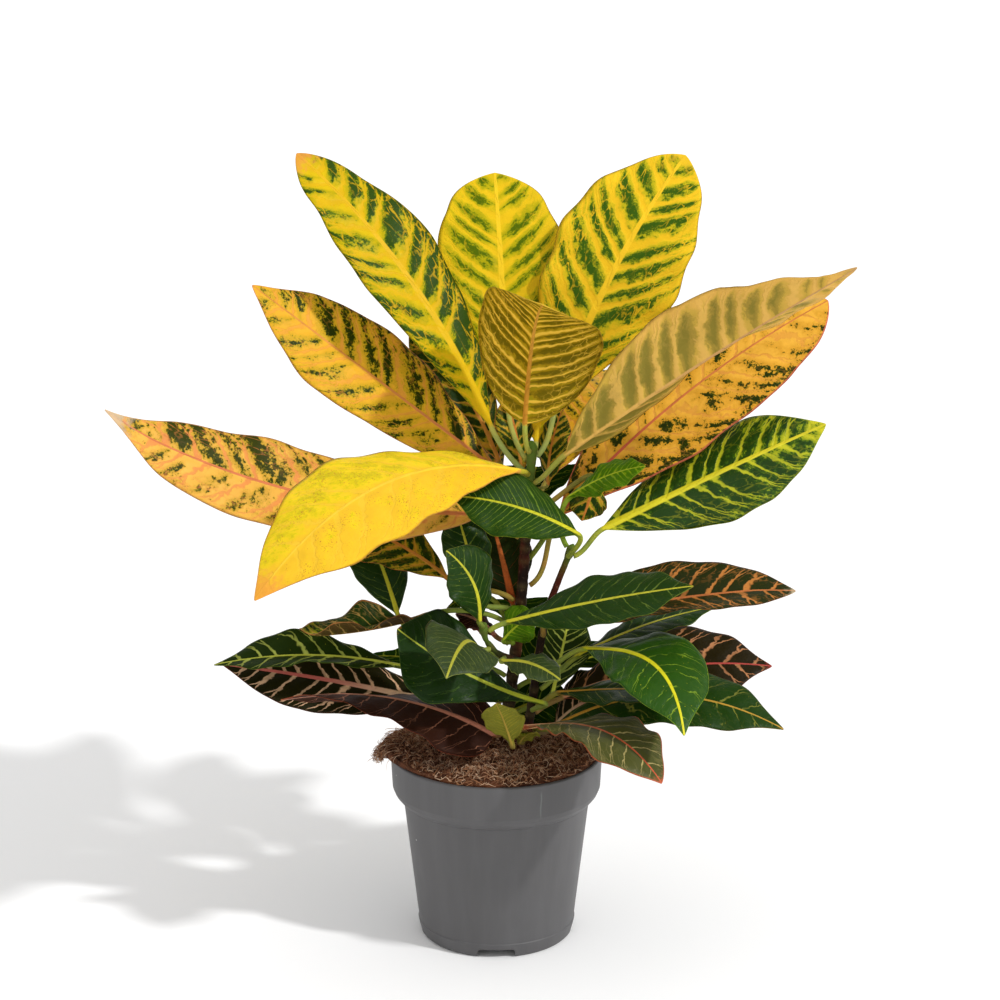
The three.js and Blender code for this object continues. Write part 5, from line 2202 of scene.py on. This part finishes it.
LEAVES = [
    Leaf("leaf_01_top_left", MAIN, 294, 56, (-4, 2, 323), (-119, 45, 478), Look.CROWN_LEFT,
         YELLOW, bow=12, roll=-38, fold=8, lobes=0.05, drip=-0.25),
    Leaf("leaf_02_top_middle", MAIN, 300, 76, (7, 14, 331), (-1, 85, 461), Look.CROWN_MIDDLE,
         YELLOW, bow=10, peak=1.6, facing=92, drip=-0.35, lobes=0.02),
    Leaf("leaf_03_top_right", MAIN, 303, 84, (36, 8, 333), (114, 60, 475), Look.CROWN_RIGHT,
         YELLOW, bow=8, roll=40, fold=8, lobes=0.06, frill=1.6, drip=-0.15),
    Leaf("leaf_04_centre_small", MAIN, 307, 76, (17, -10, 326), (26, -85, 411), Look.FOLDED_OLIVE,
         OLIVE, bow=18, roll=-22, facing=-88, fold=26, peak=0.8, quilt=0.9, lobes=0.02, drip=-0.3,
         spacing=7.5, slant=0.2, wave=0, frill=0.3),
    Leaf("leaf_05_right_olive", MAIN, 288, 58, (42, -18, 310), (200, -80, 431), Look.PEACH_OLIVE,
         OLIVE, bow=2, roll=-38, fold=40, peak=0.9, quilt=2.0, frill=1.4, spacing=15.5),
    Leaf("leaf_06_right_golden", MAIN, 222, 80, (38, 4, 266), (200, 40, 390), Look.GOLD_PINK_RIB,
         GOLDEN, bow=10, roll=40, quilt=0.8, lobes=0.03, drip=-0.35),
    Leaf("leaf_07_left_golden", MAIN, 284, 62, (-4, 12, 295), (-145, 20, 403), Look.GOLD_BLOTCHED,
         GOLDEN, bow=0, roll=-45, peak=1.1, lobes=0.05),
    Leaf("leaf_08_left_dried_tip", MAIN, 252, 56, (-10, 2, 267), (-232, -30, 338),
         Look.PEACH_DRIED, GOLDEN, bow=-16, roll=-50, peak=1, hook=11, drip=0.65),
    Leaf("leaf_09_front_yellow", MAIN, 293, 78, (13, -18, 299), (-134, -125, 252),
         Look.PLAIN_YELLOW, YELLOW, bow=30, roll=-18, fold=0, camber=4, drip=0.4, quilt=0.7,
         lobes=0.05, frill=1.4),
    Leaf("leaf_10_right_green", RIGHT, 246, 60, (64, -12, 262), (196, 0, 323),
         Look.GREEN_YELLOW_RIB, GREEN, bow=1, roll=48, fold=-6, spacing=11.5, lobes=0.04),
    Leaf("leaf_11_small_green", RIGHT, 250, 24, (44, -14, 282), (87, -35, 306), Look.YOUNG_GREEN,
         GREEN, bow=3, roll=40, spacing=4),
    Leaf("leaf_12_centre_green", RIGHT, 246, 44, (48, -28, 263), (-28, -38, 289),
         Look.STRIPED_GREEN, DARK, bow=5, roll=-50, spacing=3.6, drip=0.5),
    Leaf("leaf_13_hanging_golden", MAIN, 268, 24, (58, -3, 289), (51, -9, 266),
         Look.BEHIND_VARIEGATED, GOLDEN, bow=3, facing=-80, spacing=8.5),
    Leaf("leaf_14_front_green", LEFT, 207, 42, (7, -42, 213), (113, -78, 246),
         Look.DARK_YELLOW_RIB, GREEN, bow=2, roll=30, drip=0.5, spacing=8.5),
    Leaf("leaf_15_dried_hook", RIGHT, 196, 46, (30, -18, 205), (174, -45, 235),
         Look.DARK_ORANGE_RIB, DARK, bow=3, roll=26, fold=28, hook=-5, drip=0.0, spacing=13),
    Leaf("leaf_16_right_thin", RIGHT, 160, 30, (49, -4, 179), (133, 10, 206),
         Look.DARK_YELLOW_RIB, DARK, bow=4, roll=10),
    Leaf("leaf_17_pink_veined", RIGHT, 144, 56, (42, 8, 149), (169, 10, 168), Look.NIGHT_PINK,
         DARK, bow=9, roll=40, spacing=15, drip=0.5),
    Leaf("leaf_18_front_right", RIGHT, 172, 54, (54, -28, 192), (107, -110, 167),
         Look.FRONT_GREEN, GREEN, bow=18, lean=0.3, swing=-8, roll=20, drip=0.5),
    Leaf("leaf_19_behind_front", RIGHT, 150, 40, (38, -22, 162), (118, -62, 176),
         Look.GREEN_ORANGE_RIB, GREEN, bow=2, roll=10),
    Leaf("leaf_20_low_right", MAIN, 131, 46, (36, -12, 137), (171, -45, 147),
         Look.GREEN_ORANGE_RIB, DARK, bow=20, roll=30, drip=0.5),
    Leaf("leaf_21_low_front", RIGHT, 132, 54, (17, -30, 143), (95, -105, 136), Look.GRAY_RED_RIB,
         DARK, bow=17, lean=0.3, peak=1.6, lobes=0.06, frill=1.5),
    Leaf("leaf_22_low_back", MAIN, 126, 44, (36, -4, 134), (89, 22, 152), Look.NIGHT_SALMON, DARK,
         bow=6, roll=30),
    Leaf("leaf_23_upright_dark", MAIN, 140, 34, (35, 10, 153), (46, 22, 202), Look.LEFT_LIME,
         DARK, bow=3, facing=90),
    Leaf("leaf_24_bright_small", MAIN, 186, 26, (5, -10, 192), (24, -12, 207), Look.YOUNG_GREEN,
         GREEN, bow=2, roll=55, facing=0),
    Leaf("leaf_25_left_shoot_top", LEFT, 211, 38, (-10, -50, 217), (-29, -60, 262),
         Look.DARK_YELLOW_RIB, DARK, bow=6, roll=-45, facing=180),
    Leaf("leaf_26_left_upright", MAIN, 172, 38, (-61, 18, 200), (-84, 36, 258),
         Look.DARK_YELLOW_RIB, GREEN, bow=4, facing=110),
    Leaf("leaf_27_big_dark_left", RIGHT, 148, 62, (27, -34, 160), (-58, -52, 212), Look.WIDE_DARK,
         DARK, bow=-5, roll=-57, peak=2.3),
    Leaf("leaf_28_gray_green", LEFT, 198, 46, (-10, -52, 199), (-28, -118, 204), Look.GRAY_GREEN,
         GREEN, bow=12, roll=-28, spacing=4.5, drip=0.6),
    Leaf("leaf_29_small_drooping", LEFT, 191, 24, (4, -52, 192), (37, -80, 190), Look.GRAY_GREEN,
         GREEN, bow=4, roll=15),
    Leaf("leaf_30_curled", MAIN, 196, 28, (-43, -16, 209), (-118, -50, 207), Look.CURLED, DARK,
         bow=-3, fold=38, camber=0, wave=-6, waves=1.8, hook=9, drip=0.2),
    Leaf("leaf_31_left_green", MAIN, 164, 31, (-59, -16, 177), (-169, -26, 181), Look.LEFT_LIME,
         DARK, bow=6, roll=-22, fold=30, spacing=12.5, drip=0.6),
    Leaf("leaf_32_left_dark", MAIN, 146, 48, (-34, -2, 148), (-166, -10, 176), Look.NIGHT_SALMON,
         DARK, bow=2, roll=-40, spacing=11.5, drip=0.4),
    Leaf("leaf_33_bronze", MAIN, 134, 54, (-2, -26, 137), (-127, -55, 169), Look.BRONZE_BROWN,
         BRONZE, bow=12, roll=-50, twist=90, fold=-15, peak=0.5),
    Leaf("leaf_34_small_yellow", MAIN, 126, 26, (9, -44, 139), (0, -70, 172), Look.SMALL_OLIVE,
         OLIVE, bow=2, spacing=3.2),
    Leaf("leaf_35_soil_olive", RIGHT, 126, 18, (14, -17, 129), (22, -27, 138), Look.SMALL_OLIVE,
         OLIVE, bow=2),
    Leaf("leaf_36_small_back", MAIN, 195, 24, (-6, 12, 212), (-33, 8, 202), Look.BEHIND_DARK,
         GREEN, bow=4),
    Leaf("leaf_37_behind_yellow", MAIN, 212, 44, (-30, 6, 226), (-120, 22, 261),
         Look.BEHIND_VARIEGATED, GOLDEN, bow=8, roll=-40),
    Leaf("leaf_38_orange_midrib", MAIN, 200, 38, (10, 8, 209), (-3, 24, 258), Look.NIGHT_ORANGE,
         DARK, bow=2, facing=100),
    Leaf("leaf_39_upright_left", MAIN, 206, 30, (-10, -6, 216), (-25, 8, 270),
         Look.DARK_YELLOW_RIB, DARK, bow=2, facing=110),
    Leaf("leaf_40_behind_golden", MAIN, 276, 40, (1, 26, 295), (-54, 62, 378),
         Look.BEHIND_VARIEGATED, GOLDEN, bow=6, roll=-30),
    Leaf("leaf_41_small_red", MAIN, 184, 20, (-1, 4, 190), (-25, 12, 201), Look.BRONZE_BROWN,
         BRONZE, bow=3, roll=-20),
    Leaf("leaf_42_back_top", MAIN, 290, 66, (24, 20, 308), (34, 150, 380), Look.CROWN_MIDDLE,
         YELLOW, bow=14),
    Leaf("leaf_43_back_top_right", MAIN, 272, 62, (32, 20, 286), (96, 130, 330),
         Look.GOLD_BLOTCHED, GOLDEN, bow=12),
    Leaf("leaf_44_back_top_left", MAIN, 268, 52, (2, 22, 284), (-50, 140, 300),
         Look.BEHIND_VARIEGATED, GOLDEN, bow=12),
    Leaf("leaf_45_back_middle", MAIN, 246, 56, (20, 22, 262), (28, 155, 250), Look.BEHIND_DARK,
         DARK, bow=16),
    Leaf("leaf_46_back_right", MAIN, 238, 44, (44, 28, 266), (140, 108, 296), Look.BEHIND_DARK,
         DARK, bow=12, peak=1.5),
    Leaf("leaf_47_back_left", MAIN, 260, 46, (-12, 24, 266), (-96, 100, 262), Look.PEACH_DRIED,
         GOLDEN, bow=12),
    Leaf("leaf_48_back_low", MAIN, 180, 48, (15, 24, 190), (5, 140, 160), Look.BEHIND_DARK, DARK,
         bow=12),
    Leaf("leaf_49_back_low_right", MAIN, 156, 46, (36, 22, 160), (122, 88, 150), Look.BEHIND_DARK,
         DARK, bow=8),
    Leaf("leaf_50_back_low_left", MAIN, 152, 46, (-12, 22, 156), (-100, 84, 146),
         Look.BEHIND_DARK, DARK, bow=8),
]

YOUNG_LEAVES = [
    Leaf("young_leaf_1", MAIN, 290, 26, (15, 8, 291), (5, 22, 335), Look.BEHIND_VARIEGATED,
         GOLDEN, bow=3, spacing=6),
    Leaf("young_leaf_2", MAIN, 282, 28, (31, 8, 284), (40, 18, 328), Look.BEHIND_VARIEGATED,
         GOLDEN, bow=3, spacing=6),
    Leaf("young_leaf_3", MAIN, 146, 28, (22, 14, 152), (30, 30, 190), Look.BEHIND_DARK, DARK,
         bow=3, spacing=6),
    Leaf("young_leaf_4", MAIN, 122, 32, (6, 15, 134), (46, 27, 141), Look.BEHIND_DARK, DARK,
         bow=4, roll=60, spacing=6),
]


# ---- the set


@dataclass
class Studio:
    """A white floor, a soft sun from the right front, a white sky and the camera."""

    floor_size: float = 60.0
    sky: float = 0.8
    sun: float = 1.75
    sun_softness: float = 3.5
    sun_heading: Range = (-0.848, 0.53)
    sun_height: float = 43.5
    camera: Point = (0.0022, -1.5, 0.677)
    pitch: float = 0.261
    focal_length: float = 93.28
    sensor_width: float = 36.0
    sight: float = 200.0

    def lay_floor(self) -> None:
        """A flat floor at the height that the pot stands on."""
        reach = self.floor_size / 2 / MM
        corners = np.array([[-1, -1, 0], [1, -1, 0], [1, 1, 0], [-1, 1, 0]]) * reach
        floor = make_piece("studio_floor", corners.astype(float), [np.array([[0, 1, 2, 3]])])
        floor.data.materials.append(WhitePaper().material())

    def light(self) -> None:
        """The sky and the sun."""
        world = bpy.data.worlds.new("white_sky")
        world.use_nodes = True
        back = world.node_tree.nodes["Background"]
        back.inputs["Color"].default_value = (1.0, 1.0, 1.0, 1.0)
        back.inputs["Strength"].default_value = self.sky
        bpy.context.scene.world = world
        lamp = bpy.data.lights.new("soft_sun", "SUN")
        lamp.energy = self.sun
        lamp.angle = math.radians(self.sun_softness)
        sun = bpy.data.objects.new("soft_sun", lamp)
        bpy.context.scene.collection.objects.link(sun)
        level = math.cos(math.radians(self.sun_height))
        x, y = self.sun_heading
        travel = (x * level, y * level, -math.sin(math.radians(self.sun_height)))
        sun.rotation_euler = Vector(travel).to_track_quat("-Z", "Y").to_euler()

    def set_camera(self) -> None:
        """The camera, where the photograph was taken."""
        lens = bpy.data.cameras.new("viewer")
        lens.lens = self.focal_length
        lens.sensor_width = self.sensor_width
        lens.sensor_fit = "HORIZONTAL"
        lens.clip_end = self.sight
        camera = bpy.data.objects.new("viewer", lens)
        bpy.context.scene.collection.objects.link(camera)
        camera.location = self.camera
        camera.rotation_euler = (math.pi / 2 - self.pitch, 0.0, 0.0)
        bpy.context.scene.camera = camera
        bpy.context.scene.view_settings.view_transform = "Standard"

    def build(self) -> None:
        """Sets up all of it."""
        self.lay_floor()
        self.light()
        self.set_camera()


def corners(box: tuple) -> list[list[float]]:
    """A box as plain lists of its two corners."""
    return [[float(v) for v in corner] for corner in box]


def main() -> None:
    """Loads the frame and builds the plant over it."""
    logging.basicConfig(level=logging.INFO, format="%(name)s: %(message)s")
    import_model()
    Studio().build()
    pot = NurseryPot()
    pot.build(PotPlastic().material())
    CoirSoil(pot).build(MoistCoir().material(), CoirFibre().material())
    Shoots(STEMS).build(YoungBark().material(), LEAVES)
    paints = BladePaint().materials()
    maker = LeafMaker(STEMS)
    for number, leaf in enumerate(LEAVES):
        maker.build(leaf, paints[leaf.look], number)
    maker = LeafMaker(STEMS, modelled=False, petiole_radius=0.8, columns=21)
    for number, leaf in enumerate(YOUNG_LEAVES, len(LEAVES)):
        maker.build(leaf, paints[leaf.look], number)
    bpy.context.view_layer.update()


if __name__ == "__main__":
    main()
